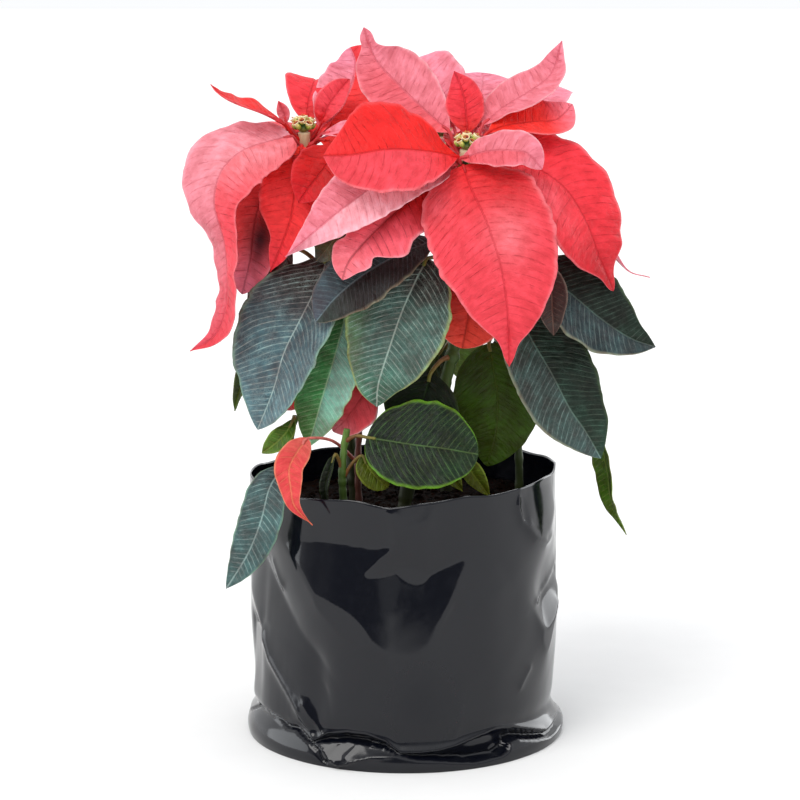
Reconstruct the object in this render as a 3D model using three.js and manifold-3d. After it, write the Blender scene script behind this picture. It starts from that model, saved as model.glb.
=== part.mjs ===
// A potted poinsettia in a soft black grow bag. Millimetres, +Z up.
// The origin is the middle of the bag's flat underside, and -Y is the front of the plant.
import * as THREE from 'three';
import Module from 'manifold-3d';

const wasm = await Module();
wasm.setup();

// Driving dimensions of the bag and the soil in it.
const BAG_RADIUS = 96.5;
const BAG_WALL = 1.2;
const BAG_SIDES = 32;
const RIM_HEIGHT = 165;
const RIM_TILT = 3;
const RIM_TILT_ANGLE = 15;
const FOOT_HEIGHT = 9;
const FOOT_FLARE = 3.2;
const FOOT_INSET = 1.5;
const NECK_HEIGHT = 19;
const NECK_SPAN = 7;
const NECK_DEPTH = 1.2;
const BODY_BULGE = 0.8;
const CREASE_DEPTH = 1.3;
const RIM_WAVE = 1.2;
const RIM_DIP = 3;
const RIM_DIP_ANGLE = 263;
const RIM_DIP_SPAN = 0.14;
const LIP_HEIGHT = 120;
const SOIL_HEIGHT = 146;
const SOIL_GAP = 0.8;
const SOIL_RIPPLE = 1.6;
const SOIL_MOUND = 1.5;
const HOLE_FLOOR = 118;
const HOLE_GAP = 0.4;
const HOLE_SIDES = 12;

// Driving dimensions of the plant.
const BLADE_THICKNESS = 0.9;
const BLADE_END = 0.7;
const STEM_SIDES = 6;
const STEM_STEPS = 10;
const STALK_SIDES = 4;
const STALK_STEPS = 3;
const STALK_SINK = 6;
const STALK_TAPER = 0.75;
const LEAF_STALK_LIFT = 0.12;
const BRACT_STALK_LIFT = -0.14;
const BRACT_STALK_RADIUS = 1.3;
const PIECE_GAP = 0.4;
const PEDUNCLE_SIDES = 6;
const PEDUNCLE_SWELL = 1.25;
const PEDUNCLE_RISE = 6;
const FINEST_DETAIL = 0.06;

// Driving dimensions of the cyathia: a short base, one bud upright and a ring of buds leaning out.
const BUD_SIDES = 5;
const BUD_RADIUS = 2.3;
const BUD_HEIGHT = 7.5;
const BUD_SINK = 1.5;
const RING_BUDS = 5;
const RING_RADIUS = 2.6;
const RING_LEAN = 38;
const RING_BUD_HEIGHT = 6.2;
const BASE_RADIUS = 4.6;
const BASE_HEIGHT = 4;

// Stems: the path of each axis upwards from its hole in the soil, and its radius at foot and tip.
const STEMS = {
  front: { path: [[0, -55, 150], [6, -52, 178], [20, -42, 212], [32, -28, 252], [37, -28, 300],
    [37, -39, 343]], foot: 4.2, tip: 3.2 },
  left: { path: [[-30, -8, 150], [-33, -7, 185], [-39, -3, 230], [-47, 1, 280], [-55, 2, 325],
    [-60, 0, 360]], foot: 4, tip: 3 },
  back: { path: [[28, 34, 150], [28, 38, 190], [26, 46, 245], [24, 54, 300], [24, 60, 350]],
    foot: 4, tip: 3 },
  right: { path: [[73, -12, 150], [72, -12, 185], [67, -12, 215], [60, -14, 250], [54, -15, 285],
    [50, -15, 305]], foot: 2.6, tip: 2 },
  lowFront: { path: [[-36, -53, 150], [-37, -55, 172], [-36, -56, 190],
    [-34, -56, 203]], foot: 2.6, tip: 1.8 },
  lowLeft: { path: [[-68, -32, 150], [-70, -34, 170], [-69, -37, 192],
    [-66, -38, 208]], foot: 2.2, tip: 1.6 },
  lowRed: { path: [[-27, -34, 150], [-28, -33, 175], [-26, -28, 205], [-20, -26, 234]],
    foot: 2.2, tip: 1.6 },
};

// Where each flower head's cyathia sit, at the top of its stem.
const HEADS = {
  front: [38, -42, 371],
  left: [-61, -1, 379],
  back: [24, 64, 372],
};

// Bracts of the front head, clockwise from the one that hangs to the front.
const FRONT_BRACTS = [
  { spine: [[36, -50, 362], [41, -64, 348], [49, -76, 331], [58, -85, 303], [62, -86, 272], [63, -80, 245]],
    width: 76, wide: 0.36, point: 1.05, faces: [[-0.05, -1, 0.45], [0, -1, 0.12]], cup: -0.08,
    lobes: [[0.9, -0.45, 0.08]], stations: 9 },
  { spine: [[33, -50, 367], [16, -60, 371], [-8, -70, 373], [-30, -74, 370], [-47, -72, 369]],
    width: 66, wide: 0.54, point: 0.9, faces: [[0.05, -0.7, 0.7], [-0.1, -0.85, 0.5]], cup: -0.05 },
  { spine: [[32, -48, 362], [2, -60, 360], [-16, -67, 352], [-32, -71, 341], [-47, -71, 329],
    [-70, -68, 309]],
    width: 46, wide: 0.4, point: 1.25, faces: [[-0.1, -0.8, 0.6], [-0.35, -0.85, 0.4]], fold: 4 },
  { spine: [[30, -45, 356], [16, -52, 349], [-2, -60, 337], [-20, -68, 321], [-32, -73, 307],
    [-36, -74, 296]],
    width: 42, wide: 0.56, point: 0.8, faces: [[-0.1, -0.9, 0.5], [-0.2, -1, 0.15]], fold: 10,
    lobes: [[0.35, 0.25, 0.1], [0.62, 0.25, 0.08], [0.77, -0.35, 0.05]], stations: 12 },
  { spine: [[34, -50, 366], [50, -58, 371], [64, -64, 372], [74, -67, 370], [82, -67, 361]],
    width: 26, wide: 0.55, point: 0.75, faces: [[0.05, -0.75, 0.65], [0.4, -0.85, 0.3]], fold: 10 },
  { spine: [[42, -42, 367], [70, -42, 364], [94, -48, 351], [108, -50, 332], [118, -48, 308],
    [127, -46, 286]],
    width: 60, wide: 0.44, point: 0.72, faces: [[0.2, -0.75, 0.65], [0.5, -0.8, 0.25]], cup: -0.1,
    lobes: [[0.94, -0.5, 0.08]], stations: 9 },
  { spine: [[50, -38, 380], [62, -34, 385], [80, -28, 387], [93, -24, 388], [103, -22, 397]],
    width: 38, wide: 0.6, point: 0.8, faces: [[0.1, -0.5, 0.85], [0.1, -0.5, 0.85]], fold: 12 },
  { spine: [[48, -33, 385], [60, -26, 395], [79, -18, 406], [91, -12, 416], [97, -8, 435]],
    width: 30, wide: 0.45, point: 1, faces: [[-0.25, -0.62, 0.72], [-0.5, -0.75, 0.4]], fold: 14 },
  { spine: [[39, -30, 380], [38, -27, 393], [36, -23, 405], [31, -20, 417]],
    width: 25, wide: 0.42, point: 1, faces: [[-0.05, -1, 0.3]], fold: 20 },
  { spine: [[28, -35, 381], [14, -26, 393], [-2, -14, 408], [-17, -8, 424], [-24, -6, 443]],
    width: 42, wide: 0.5, point: 0.9, faces: [[-0.3, -0.75, 0.6], [-0.4, -0.85, 0.3]],
    lobes: [[0.88, -0.5, 0.07]] },
  { spine: [[31, -28, 383], [22, -10, 400], [10, 2, 414], [4, 14, 421], [2, 28, 419]],
    width: 50, wide: 0.6, point: 0.6, faces: [[-0.1, -0.8, 0.55], [-0.1, -0.5, 0.85]], fold: 6 },
  { spine: [[44, -28, 382], [47, -16, 398], [49, -6, 409], [49, 8, 415]],
    width: 36, wide: 0.6, point: 0.7, faces: [[0.1, -0.8, 0.55], [0.1, -0.5, 0.85]], fold: 6 },
  { spine: [[49, -28, 377], [68, 4, 391], [86, 28, 402], [94, 40, 407], [97, 54, 402]],
    width: 36, wide: 0.62, point: 0.45, faces: [[0.2, -0.6, 0.75], [0.4, -0.3, 0.85]] },
  { spine: [[42, -38, 366], [77, -32, 353], [108, -28, 330], [128, -27, 306], [139, -28, 296],
    [151, -28, 292]],
    width: 30, wide: 0.35, point: 2.2, faces: [[0.3, -0.4, 0.85], [0.5, -0.3, 0.8]], fold: 14 },
  { spine: [[36, -45, 354], [40, -47, 336], [42, -43, 302], [40, -40, 274], [36, -40, 250]],
    width: 50, wide: 0.7, point: 0.62, faces: [[0, -1, 0.3], [0, -1, 0.05]] },
];

// Bracts of the left head, from the long one that hangs over the left side.
const LEFT_BRACTS = [
  { spine: [[-68, -12, 377], [-80, -18, 375], [-98, -28, 369], [-110, -36, 357], [-114, -40, 338],
    [-108, -41, 313], [-107, -42, 281], [-114, -40, 259], [-130, -38, 248]],
    width: 53, wide: 0.26, point: 1, cup: -0.1, fold: 6, stations: 12,
    faces: [[-0.05, -0.55, 0.85], [-0.4, -0.75, 0.5], [-0.95, -0.35, 0.1], [-0.75, -0.6, 0]],
    lobes: [[0.5, -0.3, 0.1], [0.28, 0.1, 0.1], [0.82, 0.6, 0.06]] },
  { spine: [[-66, -6, 374], [-83, -12, 349], [-91, -18, 325], [-94, -22, 302], [-99, -22, 281]],
    width: 38, wide: 0.55, point: 0.72, faces: [[-0.1, -0.9, 0.5], [-0.2, -1, 0.1]] },
  { spine: [[-62, -13, 371], [-65, -26, 351], [-68, -32, 330], [-73, -33, 315], [-81, -31, 296]],
    width: 44, wide: 0.38, point: 1.2, faces: [[0, -0.95, 0.45], [-0.1, -1, 0.1]],
    lobes: [[0.76, -0.3, 0.1]] },
  { spine: [[-52, -11, 375], [-42, -21, 373], [-46, -33, 362], [-56, -39, 349], [-63, -42, 339]],
    width: 36, wide: 0.6, point: 0.9, faces: [[0, -0.8, 0.6], [-0.3, -0.95, 0.2]] },
  { spine: [[-73, -5, 384], [-86, -12, 391], [-101, -18, 397], [-110, -20, 402], [-117, -20, 409]],
    width: 30, wide: 0.4, point: 1.3, faces: [[-0.05, -0.28, 0.96]], fold: 14 },
  { spine: [[-72, 3, 384], [-74, 3, 391], [-77, 3, 398]],
    width: 8, wide: 0.5, point: 1, faces: [[0, -1, 0.3]] },
  { spine: [[-60, 11, 384], [-59, 17, 396], [-57, 26, 405], [-55, 38, 410], [-53, 52, 405]],
    width: 36, wide: 0.62, point: 0.5, faces: [[0, -0.85, 0.5], [0, -0.5, 0.85]], fold: 6 },
  { spine: [[-51, 7, 384], [-47, 6, 393], [-41, 7, 402], [-33, 8, 411]],
    width: 20, wide: 0.5, point: 0.8, faces: [[-0.3, -0.9, 0.3]], fold: 16 },
  { spine: [[-50, 9, 379], [-40, 15, 392], [-32, 25, 407], [-30, 32, 421], [-33, 38, 430]],
    width: 42, wide: 0.5, point: 0.6, faces: [[-0.2, -0.9, 0.4]], fold: 10 },
  { spine: [[-50, -6, 378], [-36, -12, 381], [-14, -14, 379]],
    width: 16, wide: 0.5, point: 0.9, faces: [[0, -0.5, 0.85]] },
  { from: [-63, 4, 377], azimuth: 150, rise: 22, fall: -60, length: 84, width: 46, wide: 0.45, point: 0.9 },
  { from: [-61, 5, 375], azimuth: 112, rise: 12, fall: -48, length: 88, width: 50, wide: 0.45, point: 0.9 },
];

// Bracts of the head at the back, which leans away from the front.
const BACK_BRACTS = [
  { from: [19, 62, 366], azimuth: 168, rise: 26, fall: -56, length: 84, width: 44, wide: 0.45, point: 0.9 },
  { from: [21, 67, 366], azimuth: 128, rise: 6, fall: -62, length: 104, width: 54, wide: 0.42, point: 0.95 },
  { from: [25, 69, 366], azimuth: 88, rise: 26, fall: -76, length: 112, width: 58, wide: 0.4, point: 1 },
  { from: [28, 67, 366], azimuth: 48, rise: 6, fall: -60, length: 92, width: 52, wide: 0.42, point: 0.95 },
  { from: [29, 63, 366], azimuth: 12, rise: 24, fall: -62, length: 96, width: 46, wide: 0.45, point: 0.9 },
  { from: [14, 58, 370], azimuth: 205, rise: 46, fall: 18, length: 44, width: 24, wide: 0.45, point: 0.9 },
  { from: [27, 74, 370], azimuth: 70, rise: 48, fall: 0, length: 52, width: 28, wide: 0.45, point: 0.9 },
  { from: [16, 71, 370], azimuth: 140, rise: 50, fall: 5, length: 50, width: 28, wide: 0.45, point: 0.9 },
];

// Green leaves of each stem: leave is how far up the stem's path (0 to 1) the leaf's stalk grows.
const FRONT_LEAVES = [
  { leave: 0.83, spine: [[20, -43, 317], [-1, -56, 310], [-22, -64, 299], [-40, -68, 285], [-52, -67, 270]],
    width: 40, wide: 0.55, point: 0.75, faces: [[-0.1, -0.8, 0.6], [-0.2, -0.95, 0.3]] },
  { leave: 0.76, spine: [[15, -47, 306], [8, -54, 294], [-1, -58, 274], [-9, -61, 251], [-15, -60, 231],
    [-16, -58, 217]],
    width: 62, wide: 0.42, point: 0.85, faces: [[-0.05, -0.85, 0.55],
      [-0.1, -1, 0.1]], fold: 6, stations: 10 },
  { leave: 0.5, spine: [[17, -46, 236], [14, -50, 226], [10, -52, 213], [6, -53, 197]],
    width: 47, wide: 0.5, point: 0.8, faces: [[0, -0.9, 0.4]], fold: 6 },
  { leave: 0.54, spine: [[26, -12, 246], [17, -12, 236], [6, -13, 222], [-3, -13, 205]],
    width: 44, wide: 0.45, point: 0.9, faces: [[-0.3, -0.9, 0.3]], fold: 8 },
  { leave: 0.08, spine: [[24, -62, 184], [29, -64, 176], [36, -64, 166]],
    width: 10, wide: 0.4, point: 1.1, faces: [[0, -0.9, 0.3]], fold: 10 },
  { leave: 0.12, spine: [[36, -50, 184], [41, -53, 177], [47, -56, 169], [53, -57, 161]],
    width: 13, wide: 0.4, point: 1.1, faces: [[0, -0.9, 0.3]], fold: 10 },
];
const LEFT_LEAVES = [
  { leave: 0.62, spine: [[-47, -18, 304], [-50, -28, 292], [-62, -40, 268], [-72, -44, 248], [-79, -45, 225],
    [-89, -42, 200]],
    width: 72, wide: 0.42, point: 0.85, faces: [[-0.45, -0.75, 0.45], [-0.5, -0.85, 0.1]], fold: 23,
    stations: 10 },
  { leave: 0.78, spine: [[-37, -20, 320], [-43, -26, 314], [-48, -28, 308], [-53, -27, 302]],
    width: 20, wide: 0.5, point: 0.8, faces: [[-0.2, -0.8, 0.6]], fold: 10 },
  { leave: 0.68, spine: [[-70, -2, 308], [-77, -7, 296], [-87, -11, 284], [-96, -12, 273]],
    width: 22, wide: 0.5, point: 0.8, faces: [[-0.3, -0.8, 0.5]], fold: 10 },
  { leave: 0.45, spine: [[-86, -20, 256], [-96, -26, 237], [-101, -28, 221], [-104, -27, 209]],
    width: 11, wide: 0.5, point: 0.9, faces: [[-0.6, -0.8, 0.2]], fold: 12 },
  { leave: 0.5, spine: [[-33, -30, 284], [-36, -38, 267], [-42, -42, 244], [-49, -45, 221], [-58, -46, 190]],
    width: 44, wide: 0.5, point: 0.9, faces: [[-0.45, -0.8, 0.4], [-0.45, -0.9, 0.05]] },
  { leave: 0.58, reach: 26, azimuth: 114, rise: 20, fall: -78, length: 84, width: 54, wide: 0.42,
    point: 0.9 },
  { leave: 0.36, reach: 26, azimuth: 112, rise: 20, fall: -72, length: 76, width: 46, wide: 0.42,
    point: 0.9 },
];
const RIGHT_LEAVES = [
  { leave: 0.98, spine: [[77, -42, 301], [97, -48, 288], [119, -50, 270], [137, -49, 258], [153, -48, 252]],
    width: 52, wide: 0.42, point: 0.95, faces: [[0.15, -0.8, 0.6], [0.3, -0.85, 0.4]] },
  { leave: 0.95, spine: [[82, -56, 303], [88, -66, 290], [89, -69, 275], [90, -68, 262]],
    width: 20, wide: 0.45, point: 0.9, faces: [[-0.2, -0.9, 0.3], [-0.2, -1, 0]], fold: 10 },
  { leave: 0.78, spine: [[70, -34, 273], [78, -44, 256], [90, -48, 236], [101, -50, 215], [112, -49, 199],
    [121, -46, 183]],
    width: 52, wide: 0.45, point: 0.85, faces: [[0.1, -0.85, 0.5], [0.2, -0.95, 0.1]], stations: 10 },
  { leave: 0.5, spine: [[118, -16, 206], [123, -23, 189], [127, -25, 170], [130, -24, 152], [140, -20, 129]],
    width: 20, wide: 0.45, point: 1, faces: [[-0.85, -0.5, 0.3], [-0.9, -0.4, 0.1]], fold: 20 },
  { leave: 0.7, spine: [[53, -24, 251], [55, -30, 238], [58, -33, 218], [57, -33, 195], [52, -31, 175]],
    width: 54, wide: 0.42, point: 0.75, faces: [[0, 1, 0.3], [0, 1, 0]] },
  { leave: 0.6, spine: [[58, 0, 250], [65, 3, 238], [74, 4, 224], [83, 3, 208]],
    width: 36, wide: 0.45, point: 0.8, faces: [[0.2, -0.9, 0.4]], fold: 8 },
  { leave: 0.66, reach: 28, azimuth: 35, rise: 15, fall: -66, length: 66, width: 46, wide: 0.42, point: 0.9 },
];
const BACK_LEAVES = [
  { leave: 0.8, reach: 24, azimuth: 60, rise: 20, fall: -72, length: 96, width: 56, wide: 0.42, point: 0.9 },
  { leave: 0.82, reach: 24, azimuth: 122, rise: 20, fall: -74, length: 96, width: 58, wide: 0.42,
    point: 0.9 },
  { leave: 0.42, reach: 28, azimuth: 84, rise: 25, fall: -84, length: 112, width: 58, wide: 0.42,
    point: 0.9 },
  { leave: 0.48, reach: 26, azimuth: 40, rise: 25, fall: -70, length: 70, width: 42, wide: 0.42, point: 0.9 },
  { leave: 0.36, reach: 26, azimuth: 140, rise: 25, fall: -70, length: 68, width: 40, wide: 0.42,
    point: 0.9 },
];
const LOW_FRONT_LEAVES = [
  { leave: 0.85, spine: [[-22, -68, 200], [-11, -72, 199], [6, -76, 197], [25, -78, 195], [45, -76, 191]],
    width: 58, wide: 0.48, point: 0.55, faces: [[0, -0.85, 0.55]], fold: 5 },
  { leave: 0.4, spine: [[-25, -59, 187], [-21, -62, 180], [-15, -63, 173], [-9, -63, 168]],
    width: 18, wide: 0.5, point: 0.7, faces: [[0, -0.85, 0.5]], fold: 6 },
  { leave: 0.5, spine: [[-41, -60, 188], [-44, -64, 180], [-47, -66, 169], [-46, -66, 156]],
    width: 8, wide: 0.5, point: 0.8, faces: [[-0.6, -0.8, 0.2]], fold: 20 },
];
const LOW_LEFT_LEAVES = [
  { leave: 0.5, spine: [[-73, -50, 179], [-81, -64, 168], [-86, -70, 149], [-94, -70, 129], [-108, -62, 105]],
    width: 28, wide: 0.42, point: 0.9, faces: [[-0.3, -0.9, 0.3], [-0.35, -0.95, 0]] },
  { leave: 0.97, spine: [[-67, -45, 207], [-71, -49, 200], [-78, -51, 193], [-86, -51, 187]],
    width: 14, wide: 0.5, point: 0.8, faces: [[-0.2, -0.8, 0.6]], fold: 10 },
];
const LOW_BRACTS = [
  { leave: 1, spine: [[-20, -34, 228], [-27, -36, 217], [-35, -38, 206], [-43, -38, 198]],
    width: 32, wide: 0.5, point: 0.8, faces: [[-0.2, -0.9, 0.4]] },
  { leave: 0.78, spine: [[-60, -26, 222], [-67, -28, 216], [-75, -29, 211]],
    width: 14, wide: 0.5, point: 0.8, faces: [[-0.2, -0.8, 0.6]] },
  { leave: 0.32, spine: [[-57.5, -66, 199], [-63, -74, 193], [-68, -82, 184], [-67, -86, 172],
    [-64.5, -90, 162], [-54, -91, 151]],
    width: 18.5, wide: 0.32, point: 1.5, faces: [[-0.1, -1, 0.3]] },
];

const COLOURS = {
  bag: 0x26272a, soil: 0x38221a, leaf: 0x2f5546, bract: 0xe23b45, cyathia: 0xb9bb45,
};

const radians = (degrees) => degrees * Math.PI / 180;
const vector = (values) => new THREE.Vector3(...values);

// A closed solid from vertices and triangles that wind outwards.
function solid(positions, triangles) {
  const mesh = new wasm.Mesh({
    numProp: 3,
    vertProperties: new Float32Array(positions.flatMap((p) => [p.x, p.y, p.z])),
    triVerts: new Uint32Array(triangles.flat()),
  });
  return new wasm.Manifold(mesh);
}

// One body from overlapping solids, without edges shorter than the finest detail.
function joined(solids) {
  return solids.reduce((whole, next) => whole.add(next)).asOriginal().simplify(FINEST_DETAIL);
}

// A solid through rings of equal count, with a flat fan at each end.
function loft(rings) {
  const count = rings[0].length;
  const positions = rings.flat();
  const triangles = [];
  for (let ring = 0; ring + 1 < rings.length; ring += 1) {
    for (let side = 0; side < count; side += 1) {
      const a = ring * count + side;
      const b = ring * count + (side + 1) % count;
      triangles.push([a, b, b + count], [a, b + count, a + count]);
    }
  }
  const ends = [[0, rings[0], -1], [(rings.length - 1) * count, rings.at(-1), 1]];
  for (const [first, ring, turn] of ends) {
    const centre = positions.length;
    positions.push(ring.reduce((sum, p) => sum.add(p), new THREE.Vector3()).divideScalar(count));
    for (let side = 0; side < count; side += 1) {
      const edge = [first + side, first + (side + 1) % count];
      triangles.push(turn > 0 ? [...edge, centre] : [edge[1], edge[0], centre]);
    }
  }
  return solid(positions, triangles);
}

function curveThrough(points) {
  return new THREE.CatmullRomCurve3(points.map(vector), false, 'catmullrom', 0.5);
}

// A round stem or stalk along a curve, its radius running evenly from foot to tip.
function stemAlong(curve, foot, tip, sides, steps) {
  const { normals, binormals } = curve.computeFrenetFrames(steps, false);
  const rings = [];
  for (let step = 0; step <= steps; step += 1) {
    const at = curve.getPointAt(step / steps);
    const radius = THREE.MathUtils.lerp(foot, tip, step / steps);
    rings.push(Array.from({ length: sides }, (_, side) => {
      const angle = 2 * Math.PI * side / sides;
      return at.clone()
        .addScaledVector(normals[step], radius * Math.cos(angle))
        .addScaledVector(binormals[step], radius * Math.sin(angle));
    }));
  }
  return loft(rings);
}

// The spine and faces of a blade that leaves a point at an azimuth, rises and then bends down.
function archedBlade({ from, azimuth, rise, fall, length }) {
  const heading = new THREE.Vector3(Math.cos(radians(azimuth)), Math.sin(radians(azimuth)), 0);
  const joints = 4;
  const at = vector(from);
  const spine = [at.toArray()];
  for (let joint = 0; joint < joints; joint += 1) {
    const slope = radians(THREE.MathUtils.lerp(rise, fall, (joint + 0.5) / joints));
    at.addScaledVector(heading, length / joints * Math.cos(slope));
    at.z += length / joints * Math.sin(slope);
    spine.push(at.toArray());
  }
  const upward = (slope) => heading.clone().multiplyScalar(-Math.sin(radians(slope)))
    .add(new THREE.Vector3(0, 0, Math.cos(radians(slope)))).toArray();
  return { spine, faces: [upward(rise), upward((rise + fall) / 2), upward(fall)] };
}

// The way a blade's upper side faces at t, from directions spread evenly along it.
function faceAt(faces, t) {
  if (faces.length === 1) return vector(faces[0]).normalize();
  const place = t * (faces.length - 1);
  const index = Math.min(Math.floor(place), faces.length - 2);
  const [before, after] = faces.slice(index, index + 2).map((face) => vector(face).normalize());
  return before.lerp(after, place - index).normalize();
}

// Half the width of a blade at t, from its widest place, the sharpness of its tip, and its lobes.
function halfWidth({ width, wide, point, lobes = [] }, t) {
  const rounding = point * wide / (1 - wide);
  const outline = (t / wide) ** rounding * (Math.max(0, 1 - t) / (1 - wide)) ** point;
  const bump = ([at, gain, span]) => 1 + gain * Math.exp(-(((t - at) / span) ** 2));
  const lobed = lobes.reduce((size, lobe) => size * bump(lobe), 1);
  return Math.max(BLADE_END, width / 2 * outline * lobed);
}

// A thin leaf or bract: folded along its midrib, cupped, and pointed at its tip.
function bladeSolid(row) {
  const { width, fold = 8, cup = 0 } = row;
  const stations = row.stations ?? (width > 34 ? 7 : 5);
  const strips = cup ? 4 : 2;
  const curve = curveThrough(row.spine);
  const tilt = radians(fold);
  const sheets = [[], []];
  for (let station = 0; station <= stations; station += 1) {
    const even = station / stations;
    const t = (even + (1 - Math.cos(Math.PI * even)) / 2) / 2;
    const tangent = curve.getTangentAt(t);
    const side = new THREE.Vector3().crossVectors(tangent, faceAt(row.faces, t)).normalize();
    const normal = new THREE.Vector3().crossVectors(side, tangent);
    const half = halfWidth(row, t);
    for (let strip = 0; strip <= strips; strip += 1) {
      const across = 2 * strip / strips - 1;
      const lift = half * (Math.abs(across) * Math.sin(tilt) + cup * across * across);
      const middle = curve.getPointAt(t)
        .addScaledVector(side, half * across * Math.cos(tilt))
        .addScaledVector(normal, lift);
      sheets.forEach((sheet, index) => sheet.push(
        middle.clone().addScaledVector(normal, (0.5 - index) * BLADE_THICKNESS)));
    }
  }
  return solid(sheets.flat(), sheetTriangles(stations, strips));
}

// Two matching sheets and the edge round them, split into triangles alike on both.
function sheetTriangles(stations, strips) {
  const row = strips + 1;
  const under = (stations + 1) * row;
  const triangles = [];
  for (let station = 0; station < stations; station += 1) {
    for (let strip = 0; strip < strips; strip += 1) {
      const a = station * row + strip;
      const [b, c, d] = [a + 1, a + row + 1, a + row];
      triangles.push([a, b, c], [a, c, d]);
      triangles.push([a + under, c + under, b + under], [a + under, d + under, c + under]);
    }
  }
  const border = [];
  const end = stations * row;
  for (let strip = 0; strip < strips; strip += 1) {
    border.push([strip + 1, strip], [end + strip, end + strip + 1]);
  }
  for (let station = 0; station < stations; station += 1) {
    const left = station * row;
    border.push([left, left + row], [left + row + strips, left + strips]);
  }
  for (const [a, b] of border) triangles.push([a, b, b + under], [a, b + under, a + under]);
  return triangles;
}

// The stalk from a stem to the foot of a blade, sunk into both.
function stalkSolid(start, row, radius, lift) {
  const blade = curveThrough(row.spine);
  const foot = blade.getPointAt(0);
  const sunk = blade.getPointAt(Math.min(0.3, STALK_SINK / blade.getLength()));
  const middle = start.clone().lerp(foot, 0.5);
  middle.z += lift * start.distanceTo(foot);
  const curve = curveThrough([start.toArray(), middle.toArray(), foot.toArray(), sunk.toArray()]);
  return stemAlong(curve, radius, radius * STALK_TAPER, STALK_SIDES, STALK_STEPS);
}

function stemCurve(name) {
  const { path } = STEMS[name];
  const [x, y, z] = path[0];
  return curveThrough([[x, y, HOLE_FLOOR + HOLE_GAP], [x, y, (HOLE_FLOOR + z) / 2], ...path]);
}

// A woody stem with its leaves or small bracts, all one body.
function leafyStem(name, leaves, stalkRadius) {
  const curve = stemCurve(name);
  const { foot, tip } = STEMS[name];
  const solids = [stemAlong(curve, foot, tip, STEM_SIDES, STEM_STEPS)];
  const buried = (STEMS[name].path[0][2] - HOLE_FLOOR) / curve.getLength();
  for (const leaf of leaves) {
    const start = curve.getPointAt(THREE.MathUtils.lerp(buried, 1, leaf.leave));
    let row = leaf;
    if (leaf.reach) {
      const out = new THREE.Vector3(Math.cos(radians(leaf.azimuth)), Math.sin(radians(leaf.azimuth)), 0.5);
      const from = start.clone().addScaledVector(out, leaf.reach).toArray();
      row = { ...leaf, ...archedBlade({ ...leaf, from }) };
    }
    solids.push(bladeSolid(row), stalkSolid(start, row, stalkRadius, LEAF_STALK_LIFT));
  }
  return joined(solids);
}

// A whorl of bracts on the short flower stem that stands on top of a leafy stem.
// The stalks of the higher bracts start higher up the flower stem.
function bractWhorl(name, bracts) {
  const stem = stemCurve(name);
  const { tip } = STEMS[name];
  const top = stem.getPointAt(1).addScaledVector(stem.getTangentAt(1), PIECE_GAP);
  const head = vector(HEADS[name]);
  const upwards = top.clone().addScaledVector(stem.getTangentAt(1), PEDUNCLE_RISE);
  const peduncle = curveThrough([top.toArray(), upwards.toArray(), HEADS[name]]);
  const solids = [stemAlong(peduncle, tip, tip * PEDUNCLE_SWELL, PEDUNCLE_SIDES, 2)];
  for (const bract of bracts) {
    const row = bract.from ? { ...bract, ...archedBlade(bract) } : bract;
    const height = (row.spine[0][2] - top.z) / (head.z - top.z);
    const start = top.clone().lerp(head, 0.35 + 0.4 * Math.max(0, height - 0.4));
    solids.push(bladeSolid(row), stalkSolid(start, row, BRACT_STALK_RADIUS, BRACT_STALK_LIFT));
  }
  return joined(solids);
}

// One cup-shaped cyathium: a small bud that swells above its foot and has a flat mouth.
function cyathiumSolid(at, axis, radius, height) {
  const turn = new THREE.Quaternion().setFromUnitVectors(new THREE.Vector3(0, 0, 1), axis);
  const profile = [[0.5, 0], [1, 0.55], [0.6, 1]];
  const rings = profile.map(([across, along]) => Array.from({ length: BUD_SIDES }, (_, side) => {
    const angle = 2 * Math.PI * side / BUD_SIDES;
    const spread = radius * across;
    return new THREE.Vector3(spread * Math.cos(angle), spread * Math.sin(angle), height * along)
      .applyQuaternion(turn).add(at);
  }));
  return loft(rings);
}

// The cluster of cyathia that sits on the flower stem inside a whorl.
function cyathiaCluster(name) {
  const stem = stemCurve(name);
  const head = vector(HEADS[name]);
  const axis = head.clone().sub(stem.getPointAt(1)).normalize();
  const base = head.clone().addScaledVector(axis, PIECE_GAP);
  const foot = base.clone().addScaledVector(axis, BUD_SINK);
  const solids = [
    cyathiumSolid(base, axis, BASE_RADIUS, BASE_HEIGHT),
    cyathiumSolid(foot, axis, BUD_RADIUS, BUD_HEIGHT),
  ];
  for (let bud = 0; bud < RING_BUDS; bud += 1) {
    const angle = 2 * Math.PI * (bud + 0.82) / RING_BUDS;
    const outward = new THREE.Vector3(Math.cos(angle), Math.sin(angle), 0);
    const across = new THREE.Vector3(-outward.y, outward.x, 0);
    const leaning = axis.clone().applyAxisAngle(across, radians(RING_LEAN));
    const place = foot.clone().addScaledVector(outward, RING_RADIUS);
    solids.push(cyathiumSolid(place, leaning, BUD_RADIUS, RING_BUD_HEIGHT));
  }
  return joined(solids);
}

// The bag's radius at a height: a bulged foot, a pinched neck above it, then soft creased sides.
function bagRadius(angle, z) {
  const foot = FOOT_FLARE * Math.exp(-(((z - FOOT_HEIGHT / 2) / FOOT_HEIGHT) ** 2));
  const neck = NECK_DEPTH * Math.exp(-(((z - NECK_HEIGHT) / NECK_SPAN) ** 2));
  const middle = Math.sin(Math.PI * Math.min(1, z / RIM_HEIGHT));
  const crease = CREASE_DEPTH * Math.sin(5 * angle + z / 34);
  return BAG_RADIUS + foot - neck + (BODY_BULGE + crease) * middle;
}

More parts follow.
